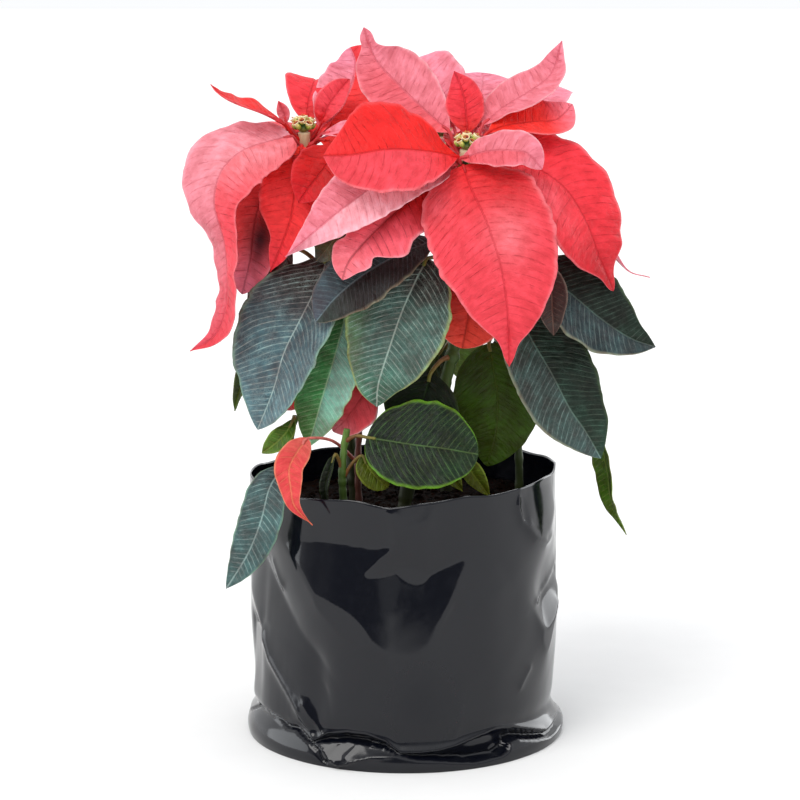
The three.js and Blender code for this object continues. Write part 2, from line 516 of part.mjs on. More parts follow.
// The rim leans a little, waves four times round and dips at the front.
function rimHeight(angle) {
  const lean = RIM_TILT * Math.cos(angle - radians(RIM_TILT_ANGLE));
  const dip = RIM_DIP * Math.exp(-(((angle - radians(RIM_DIP_ANGLE)) / RIM_DIP_SPAN) ** 2));
  return RIM_HEIGHT + lean + RIM_WAVE * Math.sin(4 * angle) - dip;
}

function bagRing(inset, level, top) {
  return Array.from({ length: BAG_SIDES }, (_, side) => {
    const angle = 2 * Math.PI * side / BAG_SIDES;
    const z = level * (top ? rimHeight(angle) / RIM_HEIGHT : 1);
    const radius = bagRadius(angle, z) - inset;
    return new THREE.Vector3(radius * Math.cos(angle), radius * Math.sin(angle), z);
  });
}

// A thin shell with a flat floor, open at the top.
function bagSolid() {
  const outerLevels = [0, 5, 11, 19, 58, 96, 132, RIM_HEIGHT];
  const innerLevels = [RIM_HEIGHT, 132, 96, 58, 19, 11, BAG_WALL];
  const lip = (level) => level > LIP_HEIGHT;
  const rings = [
    ...outerLevels.map((level) => bagRing(level ? 0 : FOOT_INSET, level, lip(level))),
    ...innerLevels.map((level) => bagRing(BAG_WALL, level, lip(level))),
  ];
  return loft(rings);
}

// The height of the soil at a share of its radius: rippled, and a little higher in the middle.
function soilTop(angle, share) {
  return SOIL_HEIGHT + SOIL_RIPPLE * Math.sin(3 * angle + 5 * share) * share + SOIL_MOUND * (1 - share);
}

// The soil: it fills the bag, with an uneven top and a plain hole for each stem.
function soilSolid() {
  const levels = [BAG_WALL + SOIL_GAP, 11, 19, 58, 96, 132];
  const inset = BAG_WALL + SOIL_GAP;
  const rings = levels.map((level) => bagRing(inset, level, false));
  for (const share of [1, 0.6, 0.15]) {
    rings.push(Array.from({ length: BAG_SIDES }, (_, side) => {
      const angle = 2 * Math.PI * side / BAG_SIDES;
      const radius = (bagRadius(angle, SOIL_HEIGHT) - inset - 0.3) * share;
      return new THREE.Vector3(radius * Math.cos(angle), radius * Math.sin(angle), soilTop(angle, share));
    }));
  }
  let soil = loft(rings);
  for (const { path, foot } of Object.values(STEMS)) {
    const [x, y] = path[0];
    const radius = (foot + HOLE_GAP) / Math.cos(Math.PI / HOLE_SIDES);
    const hole = new THREE.LineCurve3(vector([x, y, HOLE_FLOOR]), vector([x, y, RIM_HEIGHT]));
    soil = soil.subtract(stemAlong(hole, radius, radius, HOLE_SIDES, 1));
  }
  return soil.asOriginal().simplify(FINEST_DETAIL);
}

function namedMesh(name, shape, colour, roughness) {
  const { vertProperties, triVerts } = shape.getMesh();
  const geometry = new THREE.BufferGeometry();
  geometry.setAttribute('position', new THREE.BufferAttribute(vertProperties, 3));
  geometry.setIndex(new THREE.BufferAttribute(triVerts, 1));
  geometry.computeVertexNormals();
  const material = new THREE.MeshStandardMaterial({ color: colour, roughness, metalness: 0 });
  const mesh = new THREE.Mesh(geometry, material);
  mesh.name = name;
  return mesh;
}

const poinsettia = new THREE.Group();
poinsettia.add(
  namedMesh('grow_bag', bagSolid(), COLOURS.bag, 0.3),
  namedMesh('soil', soilSolid(), COLOURS.soil, 1),
  namedMesh('leafy_stem_front', leafyStem('front', FRONT_LEAVES, 1.5), COLOURS.leaf, 0.6),
  namedMesh('leafy_stem_left', leafyStem('left', LEFT_LEAVES, 1.5), COLOURS.leaf, 0.6),
  namedMesh('leafy_stem_back', leafyStem('back', BACK_LEAVES, 1.5), COLOURS.leaf, 0.6),
  namedMesh('leafy_stem_right', leafyStem('right', RIGHT_LEAVES, 1.5), COLOURS.leaf, 0.6),
  namedMesh('low_shoot_front', leafyStem('lowFront', LOW_FRONT_LEAVES, 1.2), COLOURS.leaf, 0.6),
  namedMesh('low_shoot_left', leafyStem('lowLeft', LOW_LEFT_LEAVES, 1.1), COLOURS.leaf, 0.6),
  namedMesh('low_shoot_red', leafyStem('lowRed', LOW_BRACTS, 1.1), COLOURS.bract, 0.6),
  namedMesh('bracts_front', bractWhorl('front', FRONT_BRACTS), COLOURS.bract, 0.6),
  namedMesh('bracts_left', bractWhorl('left', LEFT_BRACTS), COLOURS.bract, 0.6),
  namedMesh('bracts_back', bractWhorl('back', BACK_BRACTS), COLOURS.bract, 0.6),
  namedMesh('cyathia_front', cyathiaCluster('front'), COLOURS.cyathia, 0.6),
  namedMesh('cyathia_left', cyathiaCluster('left'), COLOURS.cyathia, 0.6),
  namedMesh('cyathia_back', cyathiaCluster('back'), COLOURS.cyathia, 0.6),
);

export default poinsettia;
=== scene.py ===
"""A potted poinsettia in a soft black grow bag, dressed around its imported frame."""
import math
import bpy
import numpy as np
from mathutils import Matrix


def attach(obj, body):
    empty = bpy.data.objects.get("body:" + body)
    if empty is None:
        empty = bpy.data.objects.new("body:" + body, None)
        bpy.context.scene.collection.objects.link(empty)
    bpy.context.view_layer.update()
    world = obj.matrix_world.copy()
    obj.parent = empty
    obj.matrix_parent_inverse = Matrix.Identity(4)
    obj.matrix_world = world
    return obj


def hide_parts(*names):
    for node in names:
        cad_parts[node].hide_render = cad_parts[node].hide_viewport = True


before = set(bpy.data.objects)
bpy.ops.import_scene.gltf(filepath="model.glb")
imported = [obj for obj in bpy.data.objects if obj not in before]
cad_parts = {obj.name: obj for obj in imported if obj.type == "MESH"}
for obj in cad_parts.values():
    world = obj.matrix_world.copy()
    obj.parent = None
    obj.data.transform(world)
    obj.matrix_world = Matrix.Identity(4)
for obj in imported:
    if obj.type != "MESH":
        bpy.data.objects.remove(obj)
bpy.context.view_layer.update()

MM = 0.001
SEED = 7

# The photograph's view: eye point in millimetres, downward pitch in degrees, and the lens in pixels of
# a frame of 800.
EYE = (-1.9, -1500, 465)
PITCH = 9.6
FOCAL_PIXELS = 2419
FRAME_PIXELS = 800
SENSOR = 36
CLIP_END = 200

# The studio: half the floor's side in metres, and how strongly the surround lights from each side.
FLOOR = 60
FLOOR_GREYS = (0.9, 0.94)
FRONT_LIGHT = 0.17
SIDE_LIGHT = 1.3
TOP_LIGHT = 0.9
SURROUND = (0.97, 0.985, 1, 1)

# Suns: name, strength, width, elevation and azimuth in degrees, colour, and which rays see them.
SUNS = [
    ("key", 1.3, 35, 52, -38, (1, 0.985, 0.96), "all"),
    ("fill", 0.3, 60, 30, 35, (0.95, 0.98, 1), "all"),
    ("front", 0.9, 100, 12, -6, (1, 0.99, 0.98), "diffuse"),
    ("left_window", 0.9, 44, 12, -95, (0.93, 0.97, 1), "glossy"),
    ("right_window", 1.4, 44, 14, 125, (0.96, 0.98, 1), "glossy"),
]

# The grow bag and its soil, as in the frame. Millimetres and degrees.
BAG_RADIUS = 96.5
RIM_HEIGHT = 165
FOOT_HEIGHT = 9
FOOT_FLARE = 3.2
NECK_HEIGHT = 19
NECK_SPAN = 7
NECK_DEPTH = 1.2
BODY_BULGE = 0.8
BODY_WAVE = 1.3
SOIL_HEIGHT = 146
SOIL_RIPPLE = 1.6
SOIL_MOUND = 1.5
HOLE_FLOOR = 118

# The film's mesh: columns round it, of which one in BACK_STRIDE stays at the back, and the rows in each
# band of its height, as shares of it.
BAG_COLUMNS = 720
BACK_STRIDE = 3
FOOT_BAND = 0.15
FOOT_ROWS = 37
TOP_BAND = 0.88
BODY_ROWS = 83
TOP_ROWS = 18
INNER_SKIN = 0.7
FILM_THICKNESS = 0.9
FILM_HEIGHTS = 180

# The film's panels: the height they start at, how soft their borders are, and how the film between them
# settles.
PANEL_START = 18
PANEL_SPREAD = 1.2
PANEL_HOLD = 0.00005
PANEL_GRIP = 0.03
PANEL_STIFFNESS = 0.01
PANEL_STEPS = 400
RIM_HOLD = 0.02
RIM_ZONE = (158, 168)

# The film's taper to the foot, the ring round the foot, the edge that hangs over it, and the limits.
BODY_TAPER = 3.5
TAPER_ANGLE = 205
TAPER_BREADTH = 0.7
BROAD_CREASES = 0.22
FINE_CREASES = 0.06
RING_RISE = 1.4
RING_SHIFT = 1.6
OVERHANG_EDGE = 0.8
OUTWARD_LIMIT = 3.6
INWARD_LIMIT = 9

# The scuffed patch of the film: how much rougher it is, and where. Degrees and millimetres.
SCUFFING = 0.3
SCUFF_ANGLE = 277
SCUFF_BREADTH = 17
SCUFF_HEIGHT = 40
SCUFF_SPREAD = 32

# The compost: its gaps to the film, its mesh, and the loose crumbs on it.
SOIL_INSET = 13
SOIL_GAP = 2.4
SOIL_COLUMNS = 240
SOIL_ROWS = 90
SOIL_BODY = (4, 40, 80, 120, 134, 143)
SOIL_LUMPS = 0.9
SOIL_GRAINS = 0.5
SOIL_COLOUR = "2a1a10"
SOIL_CRUMBS = 320
SOIL_REACH = 92
CRUMB_REACH = 84
CRUMB_SIZES = (0.7, 2.6)
CRUMB_ROWS = 5
CRUMB_COLUMNS = 8

# The plant, as in the frame.
STALK_SINK = 6
STALK_TAPER = np.array([1.25, 0.95, 0.85, 0.75])
LEAF_STALK_LIFT = 0.12
BRACT_STALK_LIFT = -0.14
BRACT_STALK_RADIUS = 1.3
STALK_START = 0.35
STALK_CLIMB = 0.4
STALK_CLIMB_FROM = 0.4
PEDUNCLE_SWELL = 1.25
PEDUNCLE_RISE = 6
PIECE_GAP = 0.4
ARCH_JOINTS = 4

# Stems: how fine the mesh is, the rings on them, the swelling at each ring or leaf and the groove below.
STEM_GRAIN = 1.2
SCARS = 9
SWELLING = 0.16
SWELLING_SPAN = 2.6
GROOVE = 0.07
GROOVE_SPAN = 0.8
GROOVE_DROP = 4.5

# Blade detail: how fine the mesh is, how thick the tissue is, and how the side veins run.
BLADE_GRAIN = 1.3
BLADE_ROWS = (16, 84)
BLADE_HALF_COLUMNS = (4, 26)
BLADE_THICKNESS = 0.5
BLADE_END = 0.35
BLADE_FOLD = 8
QUILT_SPACING = 5.5
BRACT_SLANT = 0.24
LEAF_SLANT = 0.5
VEIN_BEND = 0.008
FINER_RIBS = 0.25

# Blade relief: the scallops and notches of its rim, the half width at which its waves are full, the swell
# between them, and the furrow over its midrib.
SCALLOPS = 0.022
NOTCHES = 0.01
WAVED_WIDTH = 20
SWELL = 0.7
FURROW_DEPTH = 0.5
FURROW_WIDTH = 1.1

# Colours of stems and stalks from foot to tip, and how much darker than a bract its stalk is.
GREEN_STEM = "2c2010", "34441a", "445c22", "5c7c30"
RED_STEM = "3c2418", "5c2c20", "8c4034"
LEAF_STALK = "7c4028", "6c6c2c"
RED_STALK = "a04838", "e07870"
PEDUNCLE = "b48c68", "e0cca4"
STALK_SHADE = np.array([0.75, 0.22, 0.22])

# Cyathia: rings from the foot up, as radius, height and colour. The cup and gland are for a size of 1.
# The cup darkens to deep green at its foot, where the cups crowd: partly its own green and partly painted
# shade.
CUP = [
    (0.3, 0, "1c3c08"), (0.78, 0.35, "3c6c14"), (1, 0.95, "88a434"), (1.06, 1.5, "e4e084"),
    (1.2, 2, "fcf8c0"), (1.3, 2.2, "fffcdc"), (1.12, 2.32, "f8e0a0"), (0.86, 2, "b8280c"),
    (0.3, 1.5, "500404"),
]
GLAND = [
    (0.12, -0.1, "a8b040"), (0.5, 0, "f4f0a8"), (0.64, 0.25, "fffcd0"), (0.5, 0.45, "fcf4b8"),
    (0.34, 0.32, "e8b868"), (0.1, 0.28, "b04818"),
]
ANTHER = [
    (0.05, -0.3, "801c0c"), (0.36, -0.12, "b84818"), (0.4, 0.1, "e0a040"), (0.18, 0.34, "c87828"),
    (0.03, 0.4, "a05018"),
]
THREAD = "a81c10", "d83420"
THREAD_RADII = [0.22, 0.16]
# The cushion darkens towards its top, under the cups: partly its own green and partly painted shade.
CUSHION = [
    (2.3, 0, "8c8440"), (4, 1.6, "70803c"), (4.1, 3.6, "3c6418"), (2.8, 5.2, "24500c"),
    (0.6, 5.6, "204808"),
]
BUD = [
    (0.5, 0, "4c7418"), (1.3, 0.8, "6c9428"), (1.7, 2.2, "98b444"), (1.4, 3.8, "c0c860"),
    (0.5, 4.8, "d8c880"), (0.05, 5, "c86038"),
]

# A cyathium's gland and mouth for a size of 1, and how the cyathia and buds stand on the cushion.
GLAND_HEIGHT = 1.5
GLAND_REACH = 1.05
MOUTH_HEIGHT = 1.8
STAMENS = 6
CYATHIUM_SIZES = (1.6, 2.2)
CUSHION_HEIGHT = 2.2
UPRIGHT_RISE = 2.6
CYATHIA_ROUND = 8
CYATHIA_REACH = 3.6
CYATHIA_RISES = (0.2, 2.4)
BUDS = 5
BUD_REACH = 3.8
BUD_DROP = 0.6

# ---------------------------------------------------------------- tables, in millimetres


def numbers(text):
    """Rows of numbers: spaces between numbers and commas between rows."""
    return [tuple(float(number) for number in row.split()) for row in text.split(",")]


def bract(spine, faces, width, wide, point, quilt, veins, look, **more):
    """A blade's row. More can be fold, cup, lobes, spots and the look of its lower half, which is painted
    light and shade.
    """
    return dict(spine=numbers(spine), faces=numbers(faces), width=width, wide=wide, point=point,
                quilt=quilt, veins=veins, look=look, **more)


def leaf(leave, *row, **more):
    """The row of a blade with a stalk from the stem."""
    return bract(*row, leave=leave, **more)


def arched_bract(start, azimuth, rise, fall, length, width, wide, point, quilt, look, veins=5):
    """The row of a blade that rises from its start and bends down."""
    return dict(start=numbers(start)[0], azimuth=azimuth, rise=rise, fall=fall, length=length,
                width=width, wide=wide, point=point, quilt=quilt, look=look, veins=veins)


def arched_leaf(leave, reach, azimuth, rise, fall, length, width, quilt, look, **more):
    """The row of a leaf that rises and bends down from the end of its stalk."""
    return dict(leave=leave, reach=reach, azimuth=azimuth, rise=rise, fall=fall, length=length,
                width=width, wide=0.42, point=0.9, quilt=quilt, look=look, veins=3.6, **more)


def inner_bract(start, azimuth, rise, fall, length, width, look):
    """The row of a small bract close to the cyathia."""
    return arched_bract(start, azimuth, rise, fall, length, width, 0.5, 0.9, 0.3, look, 4)


# Stems: the path of each axis upwards from its hole in the soil, and its radius at foot and tip.
STEMS = {
    "front": ("0 -55 150, 6 -52 178, 20 -42 212, 32 -28 252, 37 -28 300, 37 -39 343", 4.2, 3.2),
    "left": ("-30 -8 150, -33 -7 185, -39 -3 230, -47 1 280, -55 2 325, -60 0 360", 4, 3),
    "back": ("28 34 150, 28 38 190, 26 46 245, 24 54 300, 24 60 350", 4, 3),
    "right": ("73 -12 150, 72 -12 185, 67 -12 215, 60 -14 250, 54 -15 285, 50 -15 305", 2.6, 2),
    "low_front": ("-36 -53 150, -37 -55 172, -36 -56 190, -34 -56 203", 2.6, 1.8),
    "low_left": ("-68 -32 150, -70 -34 170, -69 -37 192, -66 -38 208", 2.2, 1.6),
    "low_red": ("-27 -34 150, -28 -33 175, -26 -28 205, -20 -26 234", 2.2, 1.6),
}

# What each cyathia cluster sits on, at the top of its stem.
HEADS = {"front": (38, -42, 371), "left": (-61, -1, 379), "back": (24, 64, 372)}

# Bracts of the front head, clockwise from the one that hangs to the front: spine, the way it faces,
# width, where it is widest, how pointed, quilting, distance of its side veins, and look.
FRONT_BRACTS = [
    bract("36 -50 362, 41 -64 348, 49 -76 331, 58 -85 303, 62 -86 272, 63 -80 245",
        "-0.05 -1 0.45, 0 -1 0.12", 76, 0.36, 1.05, 0.6, 5, "coral", cup=-0.08,
        # Its two pink spots are painted highlights; a dark red patch lies near its foot.
        lobes=[(0.9, -0.45, 0.08)], spots=[(0.2, -0.55, 0.16, 0.5, "c01010", 0.7),
        (0.42, -0.25, 0.12, 0.35, "f08890", 0.45), (0.16, 0.8, 0.1, 0.4, "ee6c78", 0.5)]),
    bract("33 -50 367, 16 -60 371, -8 -70 373, -30 -74 370, -47 -72 369",
        "0.05 -0.7 0.7, -0.1 -0.85 0.5", 66, 0.54, 0.9, 0.25, 5, "red", lower="coral", cup=-0.05),
    bract("32 -48 362, 2 -60 360, -16 -67 352, -32 -71 341, -47 -71 329, -70 -68 309",
        "-0.1 -0.8 0.6, -0.35 -0.85 0.4", 46, 0.4, 1.25, 0.35, 5, "pink", lower="painted_lit_pink", fold=4,
        # The dark red spot at its foot is painted shade where the bracts meet.
        spots=[(0, 0, 0.08, 2, "a01c20", 0.85)]),
    bract("30 -45 356, 16 -52 349, -2 -60 337, -20 -68 321, -32 -73 307, -36 -74 296",
        "-0.1 -0.9 0.5, -0.2 -1 0.15", 42, 0.56, 0.8, 0.35, 5, "stained", fold=10,
        lobes=[(0.35, 0.25, 0.1), (0.62, 0.25, 0.08), (0.77, -0.35, 0.05)],
        spots=[(0.4, 0.05, 0.3, 0.16, "7c0606", 0.9), (0.24, 0.4, 0.22, 0.9, "c80c04", 0.97)]),
    bract("34 -50 366, 50 -58 371, 64 -64 372, 74 -67 370, 82 -67 361", "0.05 -0.75 0.65, 0.4 -0.85 0.3",
        26, 0.55, 0.75, 0.4, 4.5, "pink", lower="flushed", fold=10),
    bract("42 -42 367, 70 -42 364, 94 -48 351, 108 -50 332, 118 -48 308, 127 -46 286",
        "0.2 -0.75 0.65, 0.5 -0.8 0.25", 60, 0.44, 0.72, 0.8, 5, "ember", cup=-0.1,
        lobes=[(0.94, -0.5, 0.08)], spots=[(0.92, 0.3, 0.16, 0.6, "b01c24", 0.7),
        (0.42, 0.5, 0.2, 0.4, "f05c68", 0.7)]),
    bract("50 -38 380, 62 -34 385, 80 -28 387, 93 -24 388, 103 -22 397", "0.1 -0.5 0.85, 0.1 -0.5 0.85",
        38, 0.6, 0.8, 0.3, 4.5, "scarlet", fold=12),
    bract("48 -33 385, 60 -26 395, 79 -18 406, 91 -12 416, 97 -8 435",
        "-0.25 -0.62 0.72, -0.5 -0.75 0.4", 30, 0.45, 1, 0.4, 4.5, "pink", fold=14),
    bract("39 -30 380, 38 -27 393, 36 -23 405, 31 -20 417", "-0.05 -1 0.3", 25, 0.42, 1, 0.7, 4,
        "crimson", fold=20),
    bract("28 -35 381, 14 -26 393, -2 -14 408, -17 -8 424, -24 -6 443", "-0.3 -0.75 0.6, -0.4 -0.85 0.3",
        42, 0.5, 0.9, 0.8, 4.5, "pink", lower="flushed", lobes=[(0.88, -0.5, 0.07)]),
    bract("31 -28 383, 22 -10 400, 10 2 414, 4 14 421, 2 28 419", "-0.1 -0.8 0.55, -0.1 -0.5 0.85", 50,
        0.6, 0.6, 0.5, 5, "hazy", fold=6),
    bract("44 -28 382, 47 -16 398, 49 -6 409, 49 8 415", "0.1 -0.8 0.55, 0.1 -0.5 0.85", 36, 0.6, 0.7,
        0.7, 4, "hazy", fold=6),
    bract("49 -28 377, 68 4 391, 86 28 402, 94 40 407, 97 54 402", "0.2 -0.6 0.75, 0.4 -0.3 0.85", 36,
        0.62, 0.45, 0.3, 5, "hazy"),
    bract("42 -38 366, 77 -32 353, 108 -28 330, 128 -27 306, 139 -28 296, 151 -28 292",
        "0.3 -0.4 0.85, 0.5 -0.3 0.8", 30, 0.35, 2.2, 0.2, 5, "pink", fold=14),
    bract("36 -45 354, 40 -47 336, 42 -43 302, 40 -40 274, 36 -40 250", "0 -1 0.3, 0 -1 0.05", 50, 0.7,
        0.62, 0.35, 5, "deep"),
]

# Bracts of the left head, from the long one that hangs over the left side.
LEFT_BRACTS = [
    bract("-68 -12 377, -80 -18 375, -98 -28 369, -110 -36 357, -114 -40 338, "
        "-108 -41 313, -107 -42 281, -114 -40 259, -130 -38 248",
        "-0.05 -0.55 0.85, -0.4 -0.75 0.5, -0.95 -0.35 0.1, -0.75 -0.6 0", 53, 0.26, 1, 0.6, 5, "blush",
        lower="coral", fold=6, cup=-0.1, lobes=[(0.5, -0.3, 0.1), (0.28, 0.1, 0.1), (0.82, 0.6, 0.06)],
        spots=[(0.14, 0.3, 0.2, 0.8, "f498a2", 0.8), (0.78, -0.2, 0.2, 1.2, "d83c4c", 0.75)]),
    bract("-66 -6 374, -83 -12 349, -91 -18 325, -94 -22 302, -99 -22 281", "-0.1 -0.9 0.5, -0.2 -1 0.1",
        # It has a dark purple patch near the edge that the next bract covers.
        38, 0.55, 0.72, 0.6, 5, "painted_lit_red", spots=[(0.66, 0.3, 0.2, 0.5, "2c0c18", 0.97),
        (0.45, 0.5, 0.12, 0.4, "7c1008", 0.6)]),
    bract("-62 -13 371, -65 -26 351, -68 -32 330, -73 -33 315, -81 -31 296", "0 -0.95 0.45, -0.1 -1 0.1",
        44, 0.38, 1.2, 0.35, 5, "vivid", lobes=[(0.76, -0.3, 0.1)]),
    bract("-52 -11 375, -42 -21 373, -46 -33 362, -56 -39 349, -63 -42 339",
        "0 -0.8 0.6, -0.3 -0.95 0.2", 36, 0.6, 0.9, 0.35, 4.5, "shaded_red"),
    bract("-73 -5 384, -86 -12 391, -101 -18 397, -110 -20 402, -117 -20 409", "-0.05 -0.28 0.96", 30,
        0.4, 1.3, 0.2, 5, "red", fold=14),
    bract("-72 3 384, -74 3 391, -77 3 398", "0 -1 0.3", 8, 0.5, 1, 0.15, 4, "rose"),
    bract("-60 11 384, -59 17 396, -57 26 405, -55 38 410, -53 52 405", "0 -0.85 0.5, 0 -0.5 0.85", 36,
        0.62, 0.5, 0.5, 4.5, "ember", fold=6),
    bract("-51 7 384, -47 6 393, -41 7 402, -33 8 411", "-0.3 -0.9 0.3", 20, 0.5, 0.8, 0.3, 4, "coral",
        fold=16),
    bract("-50 9 379, -40 15 392, -32 25 407, -30 32 421, -33 38 430", "-0.2 -0.9 0.4", 42, 0.5, 0.6,
        0.5, 4.5, "hazy", lower="vivid", fold=10),
    bract("-50 -6 378, -36 -12 381, -14 -14 379", "0 -0.5 0.85", 16, 0.5, 0.9, 0.2, 4, "hazy"),
    arched_bract("-63 4 377", 150, 22, -60, 84, 46, 0.45, 0.9, 0.44, "coral"),
    arched_bract("-61 5 375", 112, 12, -48, 88, 50, 0.45, 0.9, 0.44, "rose"),
]

# Bracts of the head at the back: start, heading, rise, fall, length, width, widest place, point,
# quilting and look.
BACK_BRACTS = [
    arched_bract("19 62 366", 168, 26, -56, 84, 44, 0.45, 0.9, 0.44, "coral"),
    arched_bract("21 67 366", 128, 6, -62, 104, 54, 0.42, 0.95, 0.45, "rose"),
    arched_bract("25 69 366", 88, 26, -76, 112, 58, 0.4, 1, 0.45, "coral"),
    arched_bract("28 67 366", 48, 6, -60, 92, 52, 0.42, 0.95, 0.44, "red"),
    arched_bract("29 63 366", 12, 24, -62, 96, 46, 0.45, 0.9, 0.44, "coral"),
    arched_bract("14 58 370", 205, 46, 18, 44, 24, 0.45, 0.9, 0.36, "pink"),
    arched_bract("27 74 370", 70, 48, 0, 52, 28, 0.45, 0.9, 0.36, "rose"),
    arched_bract("16 71 370", 140, 50, 5, 50, 28, 0.45, 0.9, 0.36, "pink"),
]

# Green leaves of each stem. The first number is how far up the stem (0 to 1) the stalk grows. An arched
# leaf then has its reach from the stem, heading, rise, fall, length, width, quilting and look.
FRONT_LEAVES = [
    leaf(0.83, "20 -43 317, -1 -56 310, -22 -64 299, -40 -68 285, -52 -67 270",
        "-0.1 -0.8 0.6, -0.2 -0.95 0.3", 40, 0.55, 0.75, 0.3, 3.2, "purple", lower="shaded_dark"),
    leaf(0.76, "15 -47 306, 8 -54 294, -1 -58 274, -9 -61 251, -15 -60 231, -16 -58 217",
        "-0.05 -0.85 0.55, -0.1 -1 0.1", 62, 0.42, 0.85, 0.35, 3.6, "fresh", fold=6,
        spots=[(0.14, 0.3, 0.16, 1, "140a08", 0.92), (0.55, -0.85, 0.3, 0.25, "6c8c50", 0.5)]),
    leaf(0.5, "17 -46 236, 14 -50 226, 10 -52 213, 6 -53 197", "0 -0.9 0.4", 47, 0.5, 0.8, 0.3, 3.6,
        "shade", fold=6),
    leaf(0.54, "26 -12 246, 17 -12 236, 6 -13 222, -3 -13 205", "-0.3 -0.9 0.3", 44, 0.45, 0.9, 0.3, 3.6,
        "olive", fold=8),
    leaf(0.08, "24 -62 184, 29 -64 176, 36 -64 166", "0 -0.9 0.3", 10, 0.4, 1.1, 0.15, 3.5, "lime",
        fold=10),
    leaf(0.12, "36 -50 184, 41 -53 177, 47 -56 169, 53 -57 161", "0 -0.9 0.3", 13, 0.4, 1.1, 0.15, 3.5,
        "lime", fold=10),
]
LEFT_LEAVES = [
    leaf(0.62, "-47 -18 304, -50 -28 292, -62 -40 268, -72 -44 248, -79 -45 225, -89 -42 200",
        "-0.45 -0.75 0.45, -0.5 -0.85 0.1", 72, 0.42, 0.85, 0.4, 4, "blue", fold=23,
        spots=[(0.18, -0.3, 0.2, 1.2, "20140c", 0.9)]),
    leaf(0.78, "-37 -20 320, -43 -26 314, -48 -28 308, -53 -27 302", "-0.2 -0.8 0.6", 20, 0.5, 0.8, 0.2,
        3.2, "bronze", fold=10),
    leaf(0.68, "-70 -2 308, -77 -7 296, -87 -11 284, -96 -12 273", "-0.3 -0.8 0.5", 22, 0.5, 0.8, 0.2,
        3.2, "maroon", fold=10),
    leaf(0.45, "-86 -20 256, -96 -26 237, -101 -28 221, -104 -27 209", "-0.6 -0.8 0.2", 11, 0.5, 0.9,
        0.2, 3.2, "olive", fold=12),
    leaf(0.5, "-33 -30 284, -36 -38 267, -42 -42 244, -49 -45 221, -58 -46 190",
        "-0.45 -0.8 0.4, -0.45 -0.9 0.05", 44, 0.5, 0.9, 0.35, 3.2, "bright", lower="milky"),
    arched_leaf(0.58, 26, 114, 20, -78, 84, 54, 0.3, "fresh"),
    arched_leaf(0.36, 26, 112, 20, -72, 76, 46, 0.3, "shade"),
]
RIGHT_LEAVES = [
    leaf(0.98, "77 -42 301, 97 -48 288, 119 -50 270, 137 -49 258, 153 -48 252",
        "0.15 -0.8 0.6, 0.3 -0.85 0.4", 52, 0.42, 0.95, 0.45, 3.6, "slate", lower="greyed"),
    leaf(0.95, "82 -56 303, 88 -66 290, 89 -69 275, 90 -68 262", "-0.2 -0.9 0.3, -0.2 -1 0", 20, 0.45,
        0.9, 0.3, 3.2, "maroon", fold=10),
    leaf(0.78, "70 -34 273, 78 -44 256, 90 -48 236, 101 -50 215, 112 -49 199, 121 -46 183",
        "0.1 -0.85 0.5, 0.2 -0.95 0.1", 52, 0.45, 0.85, 0.45, 3.8, "dusky", lower="ashen"),
    leaf(0.5, "118 -16 206, 123 -23 189, 127 -25 170, 130 -24 152, 140 -20 129",
        "-0.85 -0.5 0.3, -0.9 -0.4 0.1", 20, 0.45, 1, 0.25, 3.6, "mossy", fold=20),
    leaf(0.7, "53 -24 251, 55 -30 238, 58 -33 218, 57 -33 195, 52 -31 175", "0 1 0.3, 0 1 0", 54, 0.42,
        0.75, 0.3, 3.6, "olive"),
    leaf(0.6, "58 0 250, 65 3 238, 74 4 224, 83 3 208", "0.2 -0.9 0.4", 36, 0.45, 0.8, 0.3, 3.6, "shade",
        fold=8),
    arched_leaf(0.66, 28, 35, 15, -66, 66, 46, 0.4, "fresh"),
]
BACK_LEAVES = [
    arched_leaf(0.8, 24, 60, 20, -72, 96, 56, 0.28, "fresh"),
    arched_leaf(0.82, 24, 122, 20, -74, 96, 58, 0.28, "blue"),
    arched_leaf(0.42, 28, 84, 25, -84, 112, 58, 0.28, "mossy"),
    arched_leaf(0.48, 26, 40, 25, -70, 70, 42, 0.31, "slate", lower="greyed"),
    arched_leaf(0.36, 26, 140, 25, -70, 68, 40, 0.31, "fresh"),
]
LOW_FRONT_LEAVES = [
    leaf(0.85, "-22 -68 200, -11 -72 199, 6 -76 197, 25 -78 195, 45 -76 191", "0 -0.85 0.55", 58, 0.48,
        0.55, 0.5, 4.2, "edged", fold=5),
    leaf(0.4, "-25 -59 187, -21 -62 180, -15 -63 173, -9 -63 168", "0 -0.85 0.5", 18, 0.5, 0.7, 0.2, 3.2,
        "lime", fold=6),
    leaf(0.5, "-41 -60 188, -44 -64 180, -47 -66 169, -46 -66 156", "-0.6 -0.8 0.2", 8, 0.5, 0.8, 0.15,
        3.2, "shade", fold=20),
]
LOW_LEFT_LEAVES = [
    leaf(0.5, "-73 -50 179, -81 -64 168, -86 -70 149, -94 -70 129, -108 -62 105",
        "-0.3 -0.9 0.3, -0.35 -0.95 0", 28, 0.42, 0.9, 0.29, 3.6, "steel"),
    leaf(0.97, "-67 -45 207, -71 -49 200, -78 -51 193, -86 -51 187", "-0.2 -0.8 0.6", 14, 0.5, 0.8, 0.3,
        3.6, "mossy", fold=10),
]

LOW_BRACTS = [
    leaf(1, "-20 -34 228, -27 -36 217, -35 -38 206, -43 -38 198", "-0.2 -0.9 0.4", 32, 0.5, 0.8, 0.3,
        4.5, "blanched"),
    leaf(0.78, "-60 -26 222, -67 -28 216, -75 -29 211", "-0.2 -0.8 0.6", 14, 0.5, 0.8, 0.2, 4,
        "scarlet"),
    leaf(0.32, "-57.5 -66 199, -63 -74 193, -68 -82 184, -67 -86 172, -64.5 -90 162, -54 -91 151",
        "-0.1 -1 0.3", 18.5, 0.32, 1.5, 0.5, 4, "faded"),
]

